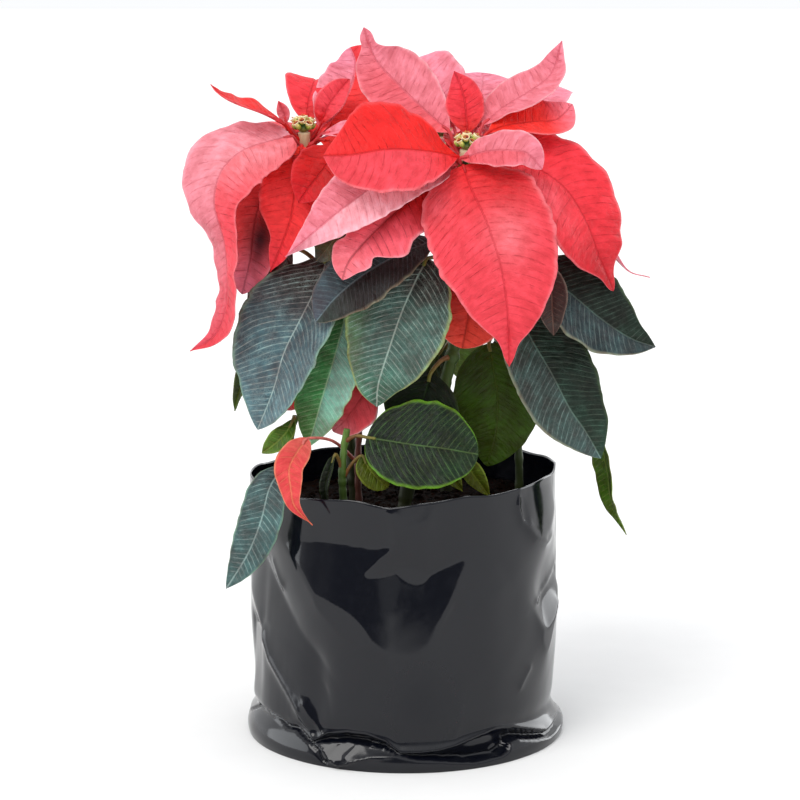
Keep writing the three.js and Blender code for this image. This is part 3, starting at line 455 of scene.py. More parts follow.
# Small bracts close round each cluster: start, heading, rise, fall, length, width and look.
INNER_BRACTS = {
    "front": [
        ("37 -46 365", -105, -40, -80, 11, 7, "mossy"), ("33 -44 366", 150, 34, 10, 22, 11, "vivid"),
        ("35 -39 367", 118, 48, 20, 24, 12, "shaded_red"), ("39 -37 368", 80, 50, 24, 24, 12, "vivid"),
        ("43 -38 367", 50, 44, 20, 26, 12, "vivid"), ("44 -42 366", 15, 34, 8, 24, 10, "scarlet"),
        ("32 -45 364", 190, 16, -10, 16, 9, "shaded_red"), ("43 -46 364", -35, 10, -20, 13, 8, "flushed"),
    ],
    "left": [
        ("-56 -4 372", -12, 24, 4, 30, 9, "hazy"), ("-55 -5 369", -24, 8, -14, 26, 9, "pale"),
        ("-56 -2 371", 8, 34, 8, 34, 15, "shaded_red"), ("-55 -6 368", -45, 0, -50, 34, 22, "shaded_red"),
        ("-58 3 372", 50, 48, 18, 26, 13, "vivid"), ("-62 4 373", 100, 50, 20, 24, 12, "shaded_red"),
        ("-66 2 372", 150, 30, 4, 20, 10, "vivid"), ("-60 -6 368", -95, 0, -50, 24, 14, "shaded_red"),
        ("-66 -3 371", 190, 20, -4, 22, 11, "vivid"),
    ],
    "back": [
        ("20 62 366", 200, 40, 8, 22, 11, "vivid"), ("22 68 366", 120, 44, 10, 24, 12, "rose"),
        ("28 68 366", 55, 40, 8, 24, 12, "vivid"), ("28 60 366", -20, 36, 4, 22, 11, "shaded_red"),
        ("22 59 366", -90, 36, 4, 20, 11, "rose"),
    ],
}

# Colours of leaves and bracts at the foot, middle and tip, of the rim, the veins and the underside, and
# how clearly the veins show.
LOOKS = {
    "coral": ("e6282c", "ea4350", "e03c48", "f07c84", "b81824", "ee6a74", 0.32),
    "red": ("e6180f", "ec201f", "e2262a", "f05054", "a80c12", "e85860", 0.35),
    "vivid": ("f02c1c", "f63638", "ec3440", "f06468", "a01014", "e85058", 0.35),
    "scarlet": ("f02814", "f2302a", "f08090", "f48890", "a00c0c", "e04850", 0.35),
    # A darker red for bracts deep in a head or under others: painted shade.
    "shaded_red": ("d01a10", "c40c0c", "d01420", "e04048", "7c0608", "c83038", 0.35),
    "ember": ("e6383c", "ee3440", "ce242e", "f07880", "b01420", "ee6a74", 0.36),
    # A dark red for a bract that hangs in shade behind another: painted shade, with a lighter tip and a
    # pale rim that are painted highlight.
    "deep": ("800c04", "b40c00", "ee4838", "f8b0a0", "5c0602", "b02820", 0.35),
    "pink": ("e26c78", "e67c8a", "ec8496", "f8b4bc", "d04c5c", "f090a0", 0.35),
    "rose": ("ee8492", "e87480", "f05e68", "f8a4ae", "cc3c4c", "ee8090", 0.35),
    "flushed": ("ee6068", "e4626e", "e88494", "f8a4ac", "cc3040", "ee8090", 0.35),
    "hazy": ("ea6874", "f08c9e", "ee8ca4", "f8b4c0", "dc6474", "f2a0b4", 0.32),
    "pale": ("f4a8b4", "f8aab8", "e8929e", "fcc4cc", "e07484", "f090a0", 0.28),
    "blush": ("f8aab8", "e2828f", "d44a5a", "f8a8b4", "cc3c50", "f08890", 0.32),
    # Its light middle is painted light, lifted where the bracts above shade it.
    "stained": ("c01408", "ff6474", "f47c88", "fcb0b8", "6c0a0c", "ee7078", 0.42),
    # Lighter than its bract's red to offset the shade that falls on it: painted light.
    "painted_lit_red": ("e8301c", "ea4a4c", "f08098", "f498a0", "601018", "c84048", 0.39),
    "faded": ("d86058", "da4246", "c43840", "f0a078", "ecac70", "c84048", 0.3),
    # A pale pink for a bract that lies in the shade of leaves: painted light.
    "blanched": ("ee3c44", "f4505c", "f88894", "fce0e0", "d84450", "f0a0a0", 0.28),
    "blue": ("1c120c", "445c64", "56727a", "84a48c", "b8ccc8", "5e7a4c", 0.7),
    "steel": ("2c3a3e", "3a5454", "3e5c5a", "84a48c", "a8c0bc", "5e7a4c", 0.6),
    "fresh": ("100c0a", "405e56", "3c6c56", "b4c474", "bcd4c8", "6e8a48", 0.7),
    "bright": ("26421a", "3a7c42", "447a36", "90b850", "b4dca4", "6e9040", 0.7),
    "milky": ("44683c", "88c0ac", "6a9e70", "a8c080", "d4ece0", "6e9040", 0.7),
    "purple": ("1c0e0e", "243438", "484c56", "6c5c54", "7c9094", "5c5a40", 0.55),
    # The dark lower half of a folded leaf: painted shade.
    "shaded_dark": ("1c0e0e", "1c1412", "2c342e", "988c74", "56565a", "5c5a40", 0.5),
    "bronze": ("3a2a1c", "4c4a2c", "3e4a44", "6a6a48", "7c7a5c", "5c5a30", 0.5),
    "maroon": ("30241c", "3c2a28", "3c3430", "8a7468", "846458", "5e3830", 0.5),
    # Dark greens for leaves that face away from the light: painted shade.
    "slate": ("06100c", "0a140c", "162a1e", "4c603c", "54685c", "3c4c3c", 0.6),
    "greyed": ("1a2426", "222e32", "283a3c", "a0a488", "78908c", "3c4c3c", 0.6),
    "shade": ("060a04", "0a1406", "0c1608", "2c4010", "283c18", "1c2c10", 0.5),
    "edged": ("040a06", "06160e", "0a220c", "6ca41c", "5c7c48", "3c5c20", 0.6),
    "olive": ("102404", "1c2e04", "2a3c06", "5c6a22", "5c6c1c", "364e08", 0.5),
    "mossy": ("2c480c", "3c5c12", "547220", "8ca040", "8c9c48", "4c6420", 0.5),
    "lime": ("2c3606", "4c5c08", "66780c", "90a43c", "8c9c38", "4c5c10", 0.5),
    # For the lower half of a bract that the one above shades: its pale middle is painted light and its
    # darker foot painted shade.
    "painted_lit_pink": ("b04048", "ffb0bc", "c4707e", "fcc4cc", "e07484", "f090a0", 0.28),
    "crimson": ("e03432", "e83440", "e23c4c", "f06870", "a01420", "e85058", 0.35),
    # Dark greens for leaves that face away from the light: painted shade.
    "dusky": ("141c10", "14221a", "20362a", "4c603c", "5c7464", "3c4c3c", 0.65),
    "ashen": ("3c463a", "34423e", "3a4c4a", "a0a488", "8ca49e", "3c4c3c", 0.65),
}

# Panels of film that lean inwards: how steeply, and their outline as degrees and heights.
PANELS = [
    (0.19, "219.4 135.2, 235.6 138.2, 247.1 138.5, 258.6 136.5, 266.4 137.8, 255.5 119, 262 119.5, "
           "270.3 122.6, 278.8 118.1, 294.3 131, 287.5 102.5, 279.5 76.8, 273.8 70.9, 264.3 72.1, "
           "254.9 86.1, 238.9 101.9, 230.9 119.8"),
    (0.085, "264.3 72, 273.8 70.9, 279.5 76.8, 290 100, 293 60, 290 20, 266.7 20, 266 51"),
    (0.1, "265 166, 270.3 147, 279.4 152.8, 283 170"),
    (0.15, "201.1 77.4, 215 76, 229.7 66.4, 240 46, 243 24, 236.4 16, 229.5 28.5, 221 42.6, 210 58.7"),
    (0.06, "292 131, 306 128, 312 112, 300 100"),
    (0.08, "190 122, 206 118, 217.8 97, 229.7 75.8, 246.9 48.8, 241 47, 229 66, 214 77, 200 80, 190 96"),
    (0.15, "188 74, 204 71, 217.5 46, 228.5 27, 222 23, 205 26, 188 26"),
    (0.3, "324.7 91.8, 338 101, 352 109, 352 96, 340 80, 333.7 66.1"),
    (0.12, "320 165, 321 146, 326 138, 332 135, 338 140, 345 150, 345 165"),
    (0.16, "20 138, 38 140, 52 132, 60 110, 48 86, 34 92, 22 112"),
    (0.14, "70 60, 88 78, 104 70, 112 46, 96 30, 78 34"),
    (0.17, "100 140, 122 138, 140 128, 134 104, 118 88, 104 108"),
    (0.13, "142 84, 158 92, 172 78, 168 52, 150 44"),
    (0.12, "24 62, 40 70, 54 54, 44 32, 28 38"),
]

# Folds of the film: how far each stands out, how wide its left and right flanks are, and its line.
FOLDS = [
    (1.2, 5, 1.6, "265 162.7, 267.2 148, 267.7 139"),
    (0.5, 1.2, 2.5, "268 138.5, 261 131, 255.5 121"),
    (2.4, 2.5, 4.5, "201.1 77.4, 210 56.7, 221 40.6, 229.5 26.5, 236.4 12.9"),
    (1.8, 1.6, 2.2, "229 37.8, 234 27, 240.3 15.9"),
    (2, 5, 2.2, "325 91.5, 338 101, 354 113"),
    (1.5, 4, 2, "333.2 70, 340 80, 347 90"),
    (0.9, 3, 2, "317.5 41, 321 49, 324.5 56"),
    (1.6, 2, 3, "317.3 168, 315.8 157.1, 317.5 147.6, 325 135.3, 333.7 129.7, 344 134"),
    (1, 3, 3, "204 124, 212 113, 221 104"),
    (0.9, 2.5, 2.5, "211 122, 219 104"),
    (0.7, 0.9, 1, "247.1 2.2, 252 5.5, 259.2 9.2, 268.5 10.9"),
    (0.5, 0.8, 0.8, "236.5 13.3, 247.2 15.4, 253.3 15.1, 262.1 13.8, 268 11"),
    (0.9, 1.2, 0.9, "253.3 15, 251 11, 248.7 6.5"),
    (0.6, 0.9, 0.9, "236.5 13.3, 240.7 9.7, 243.1 5.2, 247.1 1.9"),
    (-3, 0.9, 0.9, "235 12, 238.1 9.7, 240.6 4.2, 243.1 2"),
    (1.6, 1.4, 1, "303 6, 307 9, 311.5 11.5"),
    (2.2, 3, 6, "30 100, 46 70, 58 40, 64 18"),
    (2, 6, 3, "80 134, 98 106, 120 84"),
    (2.2, 3, 6, "150 128, 140 96, 122 60, 112 26"),
    (1.6, 4, 5, "70 162, 74 142, 80 122"),
    (1.6, 4, 4, "168 126, 160 92, 150 56"),
    (1.6, 4, 4, "8 134, 14 104, 28 76"),
]

# The hollow over the foot's ring: degrees, lowest height, greatest height and depth.
OVERHANG = numbers(
    "0 8 10 3, 45 9 11 3, 90 10 13 4, 135 9 11 3, 184 10 12 3, 197 20 22 3, 205.6 21.3 23.2 4, "
    "215.2 19.5 21.7 4, 221.4 16.5 19.1 4, 226 17 20 5, 235.5 11.5 14.5 5, 237.3 13.5 15.4 5, "
    "240.7 14.5 19.1 8, 248.7 15.8 21.3 9, 256.3 15.5 21.3 9, 263.5 13.8 17.8 8, 268.7 10.9 12 6, "
    "274.9 8.5 11.9 7, 282.2 7.7 12.4 8, 288.9 5.9 14.3 9, 295.1 4.4 16.8 9, 300.9 4.8 18.5 9, "
    "306.5 5.4 19.7 9, 309.5 7.6 19.4 9, 311 11.7 19 9, 315.2 12.4 18.2 8, 324.9 8.8 13.8 7, "
    "334.6 6 8.7 5, 345 7 9 4")

# Flat facets of the film tucked in over the ring: corners as degrees, height and reach past the bag's
# radius, and the three corners of each facet.
TUCK_CORNERS = numbers(
    "236.5 13.3 1.5, 240.7 9.7 4.2, 247.2 16 -3, 243.1 5.2 5.8, 248.7 6.5 4.2, 253.3 15.7 -3.2, "
    "247.1 1.9 6.4, 259.2 9.2 4, 262.1 14.4 -2.6, 268.5 10.9 1.8")
TUCK_FACETS = [(0, 1, 2), (1, 3, 2), (3, 4, 2), (2, 4, 5), (3, 6, 4), (6, 7, 4), (4, 7, 5), (5, 7, 8),
               (8, 7, 9)]

# The rim's height round the bag: degrees and height.
RIM_LINE = numbers(
    "0 171, 24.6 169.6, 42.8 168, 60 166, 90 166, 120 165, 150 163.5, 183.7 166.4, 205.7 164.8, "
    "228.8 163.8, 241.6 165.2, 252.8 166.1, 265.7 162.7, 281 165.4, 292.7 167.9, 317 167.5, "
    "331.3 169.5, 356.2 170.9")


# ---------------------------------------------------------------- small helpers


def unit(vectors):
    """Vectors scaled to length 1, along the last axis."""
    vectors = np.asarray(vectors, float)
    return vectors / np.maximum(np.linalg.norm(vectors, axis=-1, keepdims=True), 1e-9)


def linear(colour):
    """A colour written as six hexadecimal digits, as linear red, green and blue."""
    values = np.array([int(colour[i:i + 2], 16) for i in (0, 2, 4)]) / 255
    return np.where(values < 0.04045, values / 12.92, ((values + 0.055) / 1.055) ** 2.4)


def smooth(low, high, values):
    """0 below low, 1 above high, and a smooth step between them."""
    share = np.clip((values - low) / (high - low), 0, 1)
    return share * share * (3 - 2 * share)


def colours(row):
    """Several colours of six digits each, as linear values."""
    return [linear(colour) for colour in row]


def outward(azimuth, rise=0.0):
    """A direction at an azimuth in radians, level but for its rise."""
    return np.array([math.cos(azimuth), math.sin(azimuth), rise])


def spokes(axis, across, count):
    """Directions square to axis, spread evenly round it from across."""
    angles = np.linspace(0, 2 * math.pi, count, endpoint=False)
    return np.cos(angles)[:, None] * across + np.sin(angles)[:, None] * np.cross(axis, across)


def mix(first, second, share):
    """first where share is 0, second where it is 1; share has one axis less than the colours."""
    share = np.asarray(share, float)[..., None]
    return first * (1 - share) + second * share


class Ripple:
    """A smooth wandering value over a plane, from a few sines with seeded directions."""

    def __init__(self, rng, wavelength, count=7):
        angles = rng.uniform(0, 2 * math.pi, count)
        waves = 2 * math.pi / (wavelength * rng.uniform(0.6, 1.7, count))
        self.x = np.cos(angles) * waves
        self.y = np.sin(angles) * waves
        self.phase = rng.uniform(0, 2 * math.pi, count)

    def __call__(self, x, y):
        terms = [np.sin(a * x + b * y + c) for a, b, c in zip(self.x, self.y, self.phase)]
        return sum(terms) / math.sqrt(len(terms))


class Curve:
    """A uniform Catmull-Rom curve through points, read by its share of arc length."""

    def __init__(self, points, steps=60):
        points = np.array(points, float)
        padded = np.vstack([2 * points[0] - points[1], points, 2 * points[-1] - points[-2]])
        u = np.linspace(0, 1, steps, endpoint=False)[:, None]
        spans = []
        for before, first, second, after in zip(padded, padded[1:], padded[2:], padded[3:]):
            out = 0.5 * (second - before)
            into = 0.5 * (after - first)
            spans.append((2 * u**3 - 3 * u**2 + 1) * first + (u**3 - 2 * u**2 + u) * out
                         + (3 * u**2 - 2 * u**3) * second + (u**3 - u**2) * into)
        self.points = np.vstack(spans + [points[-1:]])
        lengths = np.linalg.norm(np.diff(self.points, axis=0), axis=1)
        travelled = np.concatenate([[0], np.cumsum(lengths)])
        self.length = travelled[-1]
        self.share = travelled / self.length

    def at(self, t):
        return np.stack([np.interp(t, self.share, axis) for axis in self.points.T], axis=-1)

    def tangent(self, t):
        t = np.asarray(t, float)
        return unit(self.at(np.clip(t + 0.004, 0, 1)) - self.at(np.clip(t - 0.004, 0, 1)))


# ---------------------------------------------------------------- leaves, bracts and stems


def part(points, faces, tint, rib=None, vein=None):
    """A bit of surface: points in millimetres, faces, colours, vein colours and vein coordinates."""
    count = len(points)
    tint = np.broadcast_to(tint, (count, 3))
    rib = tint if rib is None else np.broadcast_to(rib, (count, 3))
    vein = np.zeros((count, 3)) if vein is None else vein
    return {"points": np.asarray(points), "faces": faces, "tint": tint, "rib": rib, "vein": vein}


def face_directions(faces, t):
    """The way a blade's upper side faces at each t, from directions spread evenly along it."""
    faces = unit(faces)
    if len(faces) == 1:
        return np.repeat(faces, len(t), axis=0)
    places = np.linspace(0, 1, len(faces))
    return unit(np.stack([np.interp(t, places, axis) for axis in faces.T], axis=-1))


def arched(row):
    """The spine and faces of a blade that leaves a point at an azimuth, rises and bends down."""
    heading = outward(math.radians(row["azimuth"]))
    up = np.array([0, 0, 1])
    at = np.array(row["start"], float)
    spine = [at]
    for joint in range(ARCH_JOINTS):
        slope = math.radians(row["rise"] + (row["fall"] - row["rise"]) * (joint + 0.5) / ARCH_JOINTS)
        step = row["length"] / ARCH_JOINTS
        at = at + heading * step * math.cos(slope) + up * step * math.sin(slope)
        spine.append(at)
    slopes = np.radians([row["rise"], (row["rise"] + row["fall"]) / 2, row["fall"]])
    faces = [up * math.cos(slope) - heading * math.sin(slope) for slope in slopes]
    return {**row, "spine": spine, "faces": faces}


def half_width(row, t):
    """Half a blade's width at t, from its widest place, the sharpness of its tip and its lobes."""
    wide, point = row["wide"], row["point"]
    rounding = point * wide / (1 - wide)
    outline = (t / wide) ** rounding * (np.maximum(0, 1 - t) / (1 - wide)) ** point
    for at, gain, span in row.get("lobes", []):
        outline = outline * (1 + gain * np.exp(-(((t - at) / span) ** 2)))
    return np.maximum(BLADE_END, row["width"] / 2 * outline)


def look_colours(look, t):
    """A look's tint from foot to tip, and its rim, vein and underside colours."""
    foot, middle, tip, rim, rib, under = colours(LOOKS[look][:6])
    tint = mix(mix(foot, middle, smooth(0, 0.4, t)), tip, smooth(0.6, 1, t))
    return tint, *(np.broadcast_to(colour, tint.shape) for colour in (rim, rib, under))


def blade_colours(row, t, u, low):
    """The upper side's colour, its vein colour and the underside's colours at t along and u across."""
    layers = look_colours(row["look"], t)
    clarity = LOOKS[row["look"]][6]
    # The lower half's own look is painted light and shade: lighter or darker by how that half faces the
    # light.
    if "lower" in row:
        share = smooth(-0.03, 0.06, u * low)
        layers = [mix(a, b, share) for a, b in zip(layers, look_colours(row["lower"], t))]
    tint, rim, rib, under = layers
    for at, across, length, width, colour, strength in row.get("spots", []):
        reach = ((t - at) / length) ** 2 + ((u * low - across) / width) ** 2
        tint = mix(tint, linear(colour), strength * np.exp(-reach))
    veins = mix(tint, rib, clarity)
    tint = mix(tint, rim, smooth(0.9, 1, np.abs(u)) * 0.8)
    return tint, veins, mix(tint, under, 0.8), mix(veins, under * 0.7, 0.6)


def blade(row, slant, rng):
    """A leaf or bract: its spine and outline are the frame's, with veins, quilting and a waved rim."""
    curve = Curve(row["spine"])
    stations = int(np.clip(curve.length / BLADE_GRAIN, *BLADE_ROWS))
    strips = 2 * int(np.clip(row["width"] / BLADE_GRAIN / 2, *BLADE_HALF_COLUMNS))
    even = np.linspace(0, 1, stations + 1)
    t = (even + (1 - np.cos(np.pi * even)) / 2) / 2
    tangent = curve.tangent(t)
    side = unit(np.cross(tangent, face_directions(row["faces"], t)))
    normal = np.cross(side, tangent)
    u = np.linspace(-1, 1, strips + 1)
    t2, u2 = np.meshgrid(t, u, indexing="ij")
    tilt = math.radians(row.get("fold", BLADE_FOLD))
    half = half_width(row, t)[:, None]
    along = t2 * curve.length
    across = half * u2
    taper = smooth(0, 0.12, t2) * smooth(1, 0.85, t2)
    wander = Ripple(rng, 34)
    edge = Ripple(rng, 15)
    notch = Ripple(rng, 7)
    scallop = 1 + SCALLOPS * edge(along, 40 * np.sign(u2)) * np.abs(u2) ** 3 * taper
    scallop += NOTCHES * notch(along, 25 * np.sign(u2)) * np.abs(u2) ** 6 * taper
    forward = along - slant * np.abs(across) - VEIN_BEND * across**2
    phase = forward / row["veins"]
    stagger = np.where(u2 > 0, 0.5, 0) + 0.45 * wander(2 * along, 3 * across)
    puff = np.abs(np.sin(np.pi * (forward / QUILT_SPACING + stagger))) ** 0.8
    inner = smooth(0, 0.16, np.abs(u2)) * smooth(1, 0.72, np.abs(u2)) * taper
    lift = half * (np.sqrt(u2**2 + 0.004) * math.sin(tilt) + row.get("cup", 0) * u2**2)
    lift = lift + row["quilt"] * (puff - 0.6) * inner
    lift = lift - FURROW_DEPTH * np.exp(-((across / FURROW_WIDTH) ** 2)) * taper
    wave = np.minimum(half, WAVED_WIDTH) / WAVED_WIDTH
    lift = lift + wave * edge(along + 9, 31 * np.sign(u2)) * u2**4 * taper
    lift = lift + SWELL * wander(along, across) * smooth(0, 0.4, np.abs(u2)) * taper
    middle = (curve.at(t)[:, None] + side[:, None] * (across * scallop * math.cos(tilt))[..., None]
              + normal[:, None] * lift[..., None])
    low = -1 if side[:, 2].mean() > 0 else 1
    tint, rib, under, under_rib = blade_colours(row, t2, u2, low)
    rim = half * (1 - np.abs(u2))
    vein = np.stack([phase, across, rim], axis=-1).reshape(-1, 3)
    thickness = BLADE_THICKNESS * normal[:, None] / 2
    sheets = (middle + thickness, middle - thickness), (tint, under), (rib, under_rib)
    points, *paints = (np.concatenate(pair).reshape(-1, 3) for pair in sheets)
    return part(points, sheet_faces(stations, strips), *paints, np.vstack([vein, vein]))


def sheet_faces(stations, strips):
    """Faces of two matching sheets of points and of the edge round them."""
    index = np.arange((stations + 1) * (strips + 1)).reshape(stations + 1, strips + 1)
    a, b, c, d = index[:-1, :-1], index[:-1, 1:], index[1:, 1:], index[1:, :-1]
    top = np.stack([a, b, c, d], axis=-1).reshape(-1, 4)
    bottom = np.stack([d, c, b, a], axis=-1).reshape(-1, 4) + index.size
    border = [index[0, ::-1], index[1:, 0], index[-1, 1:], index[-2:0:-1, -1], index[:1, -1]]
    border = np.concatenate(border)
    below = border + index.size
    edge = np.stack([border[:-1], border[1:], below[1:], below[:-1]], axis=-1)
    return top.tolist() + bottom.tolist() + edge.tolist()


def tube(curve, radii, tint, sides=10, steps=24, t=None):
    """A round stem along a curve; radii and the colours of tint are read along it."""
    t = np.linspace(0, 1, steps + 1) if t is None else t
    centre = curve.at(t)
    tangent = curve.tangent(t)
    across = unit(np.cross(tangent[0], (0.3, 0.9, 0.2)))
    rings = []
    radius = np.interp(t, np.linspace(0, 1, len(radii)), radii)
    for place, heading, size in zip(centre, tangent, radius):
        across = unit(across - heading * np.dot(across, heading))
        rings.append(place + size * spokes(heading, across, sides))
    places = np.linspace(0, 1, len(tint))
    along = np.stack([np.interp(t, places, channel) for channel in np.transpose(tint)], axis=-1)
    return part(np.vstack(rings), ring_faces(len(t), sides), np.repeat(along, sides, axis=0))


def ring_faces(rings, sides):
    """Faces between rings of points, with a flat face over each end."""
    index = np.arange(rings * sides).reshape(rings, sides)
    around = np.roll(index, -1, axis=1)
    quads = np.stack([index[:-1], around[:-1], around[1:], index[1:]], axis=-1).reshape(-1, 4)
    return quads.tolist() + [index[0, ::-1].tolist(), index[-1].tolist()]


def stalk(start, row, radius, lift, tint):
    """The stalk from a stem to the foot of a blade, and on as a rib under its first part."""
    blade_curve = Curve(row["spine"])
    foot = blade_curve.at(0.0)
    sunk = blade_curve.at(min(0.3, STALK_SINK / blade_curve.length))
    start = np.array(start, float)
    middle = (start + foot) / 2
    middle[2] += lift * np.linalg.norm(foot - start)
    return tube(Curve([start, middle, foot, sunk]), radius * STALK_TAPER, tint, 10, 22)


def stem_curve(name):
    """A stem's curve from the floor of its hole, and the share of it that lies in the soil."""
    path = numbers(STEMS[name][0])
    x, y, z = path[0]
    curve = Curve([(x, y, HOLE_FLOOR + PIECE_GAP), (x, y, (HOLE_FLOOR + z) / 2), *path])
    return curve, (z - HOLE_FLOOR) / curve.length


def leaf_rows(name, leaves):
    """Each leaf's row with its spine worked out, and where its stalk starts."""
    curve, buried = stem_curve(name)
    rows = []
    for row in leaves:
        start = curve.at(buried + (1 - buried) * row["leave"])
        if "reach" in row:
            out = outward(math.radians(row["azimuth"]), 0.5)
            row = arched({**row, "start": start + out * row["reach"]})
        rows.append((start, row))
    return rows


def stem_part(name, leaves, tint):
    """A stem with swollen joints where its leaves grow and ring scars below them."""
    curve, buried = stem_curve(name)
    _, foot, tip = STEMS[name]
    t = np.linspace(0, 1, int(curve.length / STEM_GRAIN))
    joints = [buried + (1 - buried) * row["leave"] for row in leaves]
    scars = [buried + (1 - buried) * (scar + 0.5) / SCARS for scar in range(SCARS)]
    radius = foot + (tip - foot) * t
    for joint in joints + scars:
        distance = (t - joint) * curve.length
        radius = radius * (1 + SWELLING * np.exp(-((distance / SWELLING_SPAN) ** 2)))
        radius = radius * (1 - GROOVE * np.exp(-(((distance + GROOVE_DROP) / GROOVE_SPAN) ** 2)))
    return tube(curve, radius, tint, 20, t=t)


# ---------------------------------------------------------------- meshes and materials


def piece(name, parts, material, node):
    """One object from parts, which replaces a node of the frame."""
    starts = np.cumsum([0] + [len(p["points"]) for p in parts])
    faces = [[index + start for index in face] for p, start in zip(parts, starts) for face in p["faces"]]
    keys = "points", "tint", "rib", "vein"
    points, tint, rib, vein = (np.vstack([p[key] for p in parts]) for key in keys)
    mesh = bpy.data.meshes.new(name)
    mesh.from_pydata(points * MM, [], faces)
    paint(mesh, "tint", tint)
    paint(mesh, "rib", rib)
    attribute = mesh.attributes.new("vein", "FLOAT_VECTOR", "POINT")
    attribute.data.foreach_set("vector", vein.astype(np.float32).ravel())
    mesh.shade_smooth()
    mesh.materials.append(material)
    thing = bpy.data.objects.new(name, mesh)
    bpy.context.scene.collection.objects.link(thing)
    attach(thing, "root")
    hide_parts(node)


def paint(mesh, name, tint):
    """Colours as an attribute on the mesh's points."""
    opaque = np.hstack([np.clip(tint, 0, 1), np.ones((len(tint), 1))])
    attribute = mesh.color_attributes.new(name, "FLOAT_COLOR", "POINT")
    attribute.data.foreach_set("color", opaque.astype(np.float32).ravel())


class Graph:
    """The nodes of a material or the world, each made in one call."""

    def __init__(self, owner):
        owner.use_nodes = True
        self.owner = owner
        self.tree = owner.node_tree

    def node(self, kind, inputs=(), output=0, **settings):
        """A new node with its settings and inputs; returns one of its outputs."""
        made = self.tree.nodes.new(kind)
        for setting, value in settings.items():
            setattr(made, setting, value)
        for key, value in dict(inputs).items():
            self.feed(made.inputs[key], value)
        return made.outputs[output]

    def feed(self, socket, value):
        """A link where the value is another node's socket, else the value itself."""
        if isinstance(value, bpy.types.NodeSocket):
            self.tree.links.new(value, socket)
        else:
            socket.default_value = value

    def math(self, operation, *values):
        return self.node("ShaderNodeMath", enumerate(values), operation=operation)

    def product(self, *values):
        return self.math("MULTIPLY", *values)

    def step(self, value, low, high, bottom=0.0, top=1.0):
        """A smooth step of value: bottom below low, top above high."""
        inputs = {0: value, 1: low, 2: high, 3: bottom, 4: top}
        return self.node("ShaderNodeMapRange", inputs, interpolation_type="SMOOTHSTEP")

    def noise(self, vector, scale, detail=2.0, roughness=0.5):
        inputs = {"Vector": vector, "Scale": scale, "Detail": detail, "Roughness": roughness}
        return self.node("ShaderNodeTexNoise", inputs)

    def blend(self, share, first, second, kind="MIX"):
        """Two colours mixed by share."""
        inputs = {0: share, 6: first, 7: second}
        return self.node("ShaderNodeMix", inputs, 2, data_type="RGBA", blend_type=kind)

    def shaded(self, colour, *shades):
        """A colour multiplied by a shade for each of red, green and blue."""
        shades = self.node("ShaderNodeCombineXYZ", enumerate(shades))
        return self.blend(1.0, colour, shades, "MULTIPLY")

    def attribute(self, name, output):
        return self.node("ShaderNodeAttribute", output=output, attribute_name=name)

    def place(self):
        return self.node("ShaderNodeTexCoord", output=3)

    def bump(self, height, strength, distance):
        inputs = {"Strength": strength, "Distance": distance, "Height": height}
        return self.node("ShaderNodeBump", inputs)

    def finish(self, **values):
        """Feeds the surface's sockets, whose names have _ for a space, and returns the material."""
        surface = self.tree.nodes["Principled BSDF"]
        for key, value in values.items():
            self.feed(surface.inputs[key.replace("_", " ")], value)
        return self.owner


def material_graph(name):
    """The nodes of a new material."""
    return Graph(bpy.data.materials.new(name))


def blade_material(name, roughness, gloss, relief, waver, fineness, faintest, mottle, pucker_shading, net):
    """Leaf tissue: side veins that branch from the midrib, finer ribs between them, and puckers, painted
    darker in their hollows and lighter on their crowns.
    """
    g = material_graph(name)
    phase, across, rim = g.node("ShaderNodeSeparateXYZ", {0: g.attribute("vein", 1)}).node.outputs
    place = g.place()
    right = g.product(g.math("GREATER_THAN", across, 0.0), 0.5)
    drift = g.math("MULTIPLY_ADD", g.noise(place, 38.0), waver, right)
    wavering = g.math("ADD", phase, drift)

    presence = g.step(g.noise(place, 130.0, 3.0, 0.65), 0.36, 0.66, faintest, 1.0)
    away = g.step(rim, 0.4, 3.5, 0.15, 1.0)
    main = g.step(g.math("PINGPONG", wavering, 0.5), 0.0, fineness, 1.0, 0.0)
    main = g.product(main, g.product(presence, away))
    doubled = g.math("MULTIPLY_ADD", wavering, 2.0, 0.5)
    between = g.step(g.math("PINGPONG", doubled, 0.5), 0.0, fineness * 1.8, 1.0, 0.0)
    between = g.product(between, g.step(g.noise(place, 260.0), 0.42, 0.68))
    midrib = g.step(g.math("ABSOLUTE", across), 0.2, 0.85, 1.0, 0.0)
    cells = g.node("ShaderNodeCombineXYZ", {0: g.product(wavering, 3.0), 1: g.product(across, 0.8)})
    mesh = g.node("ShaderNodeTexVoronoi", {"Vector": cells, "Scale": 1.0}, feature="DISTANCE_TO_EDGE")
    shown = g.step(g.noise(place, 190.0), 0.35, 0.65, 0.2, 1.0)
    mesh = g.product(g.step(mesh, 0.02, 0.2, net, 0.0), shown)
    lines = g.math("MAXIMUM", midrib, g.math("MAXIMUM", main, g.product(between, FINER_RIBS)))
    lines = g.math("MAXIMUM", lines, mesh)
    colour = g.blend(lines, g.attribute("tint", 0), g.attribute("rib", 0))

    stretched = g.node("ShaderNodeCombineXYZ", {0: g.product(wavering, 1.1), 1: g.product(across, 0.13)})
    puckers = g.noise(stretched, 1.0, 3.0, 0.55)
    # Random mottles of tone, times the puckers' painted shade in their hollows and painted highlight on
    # their crowns.
    mottles = g.step(g.noise(place, 75.0, 5.0, 0.66), 0.3, 0.7, 1 - mottle, 1 + mottle * 0.6)
    patches = g.product(mottles, g.step(puckers, 0.3, 0.7, 1 - pucker_shading, 1 + pucker_shading * 0.6))
    deep = g.math("POWER", patches, 2.0)
    colour = g.shaded(colour, patches, deep, deep)
    height = g.math("MULTIPLY_ADD", lines, -0.6, g.product(puckers, 2.2))
    height = g.math("MULTIPLY_ADD", g.noise(place, 900.0), 0.12, height)
    rough = g.step(puckers, 0.3, 0.7, roughness - 0.06, roughness + 0.06)
    return g.finish(Base_Color=colour, Roughness=rough, Normal=g.bump(height, relief, 0.0009),
                    Specular_IOR_Level=gloss)


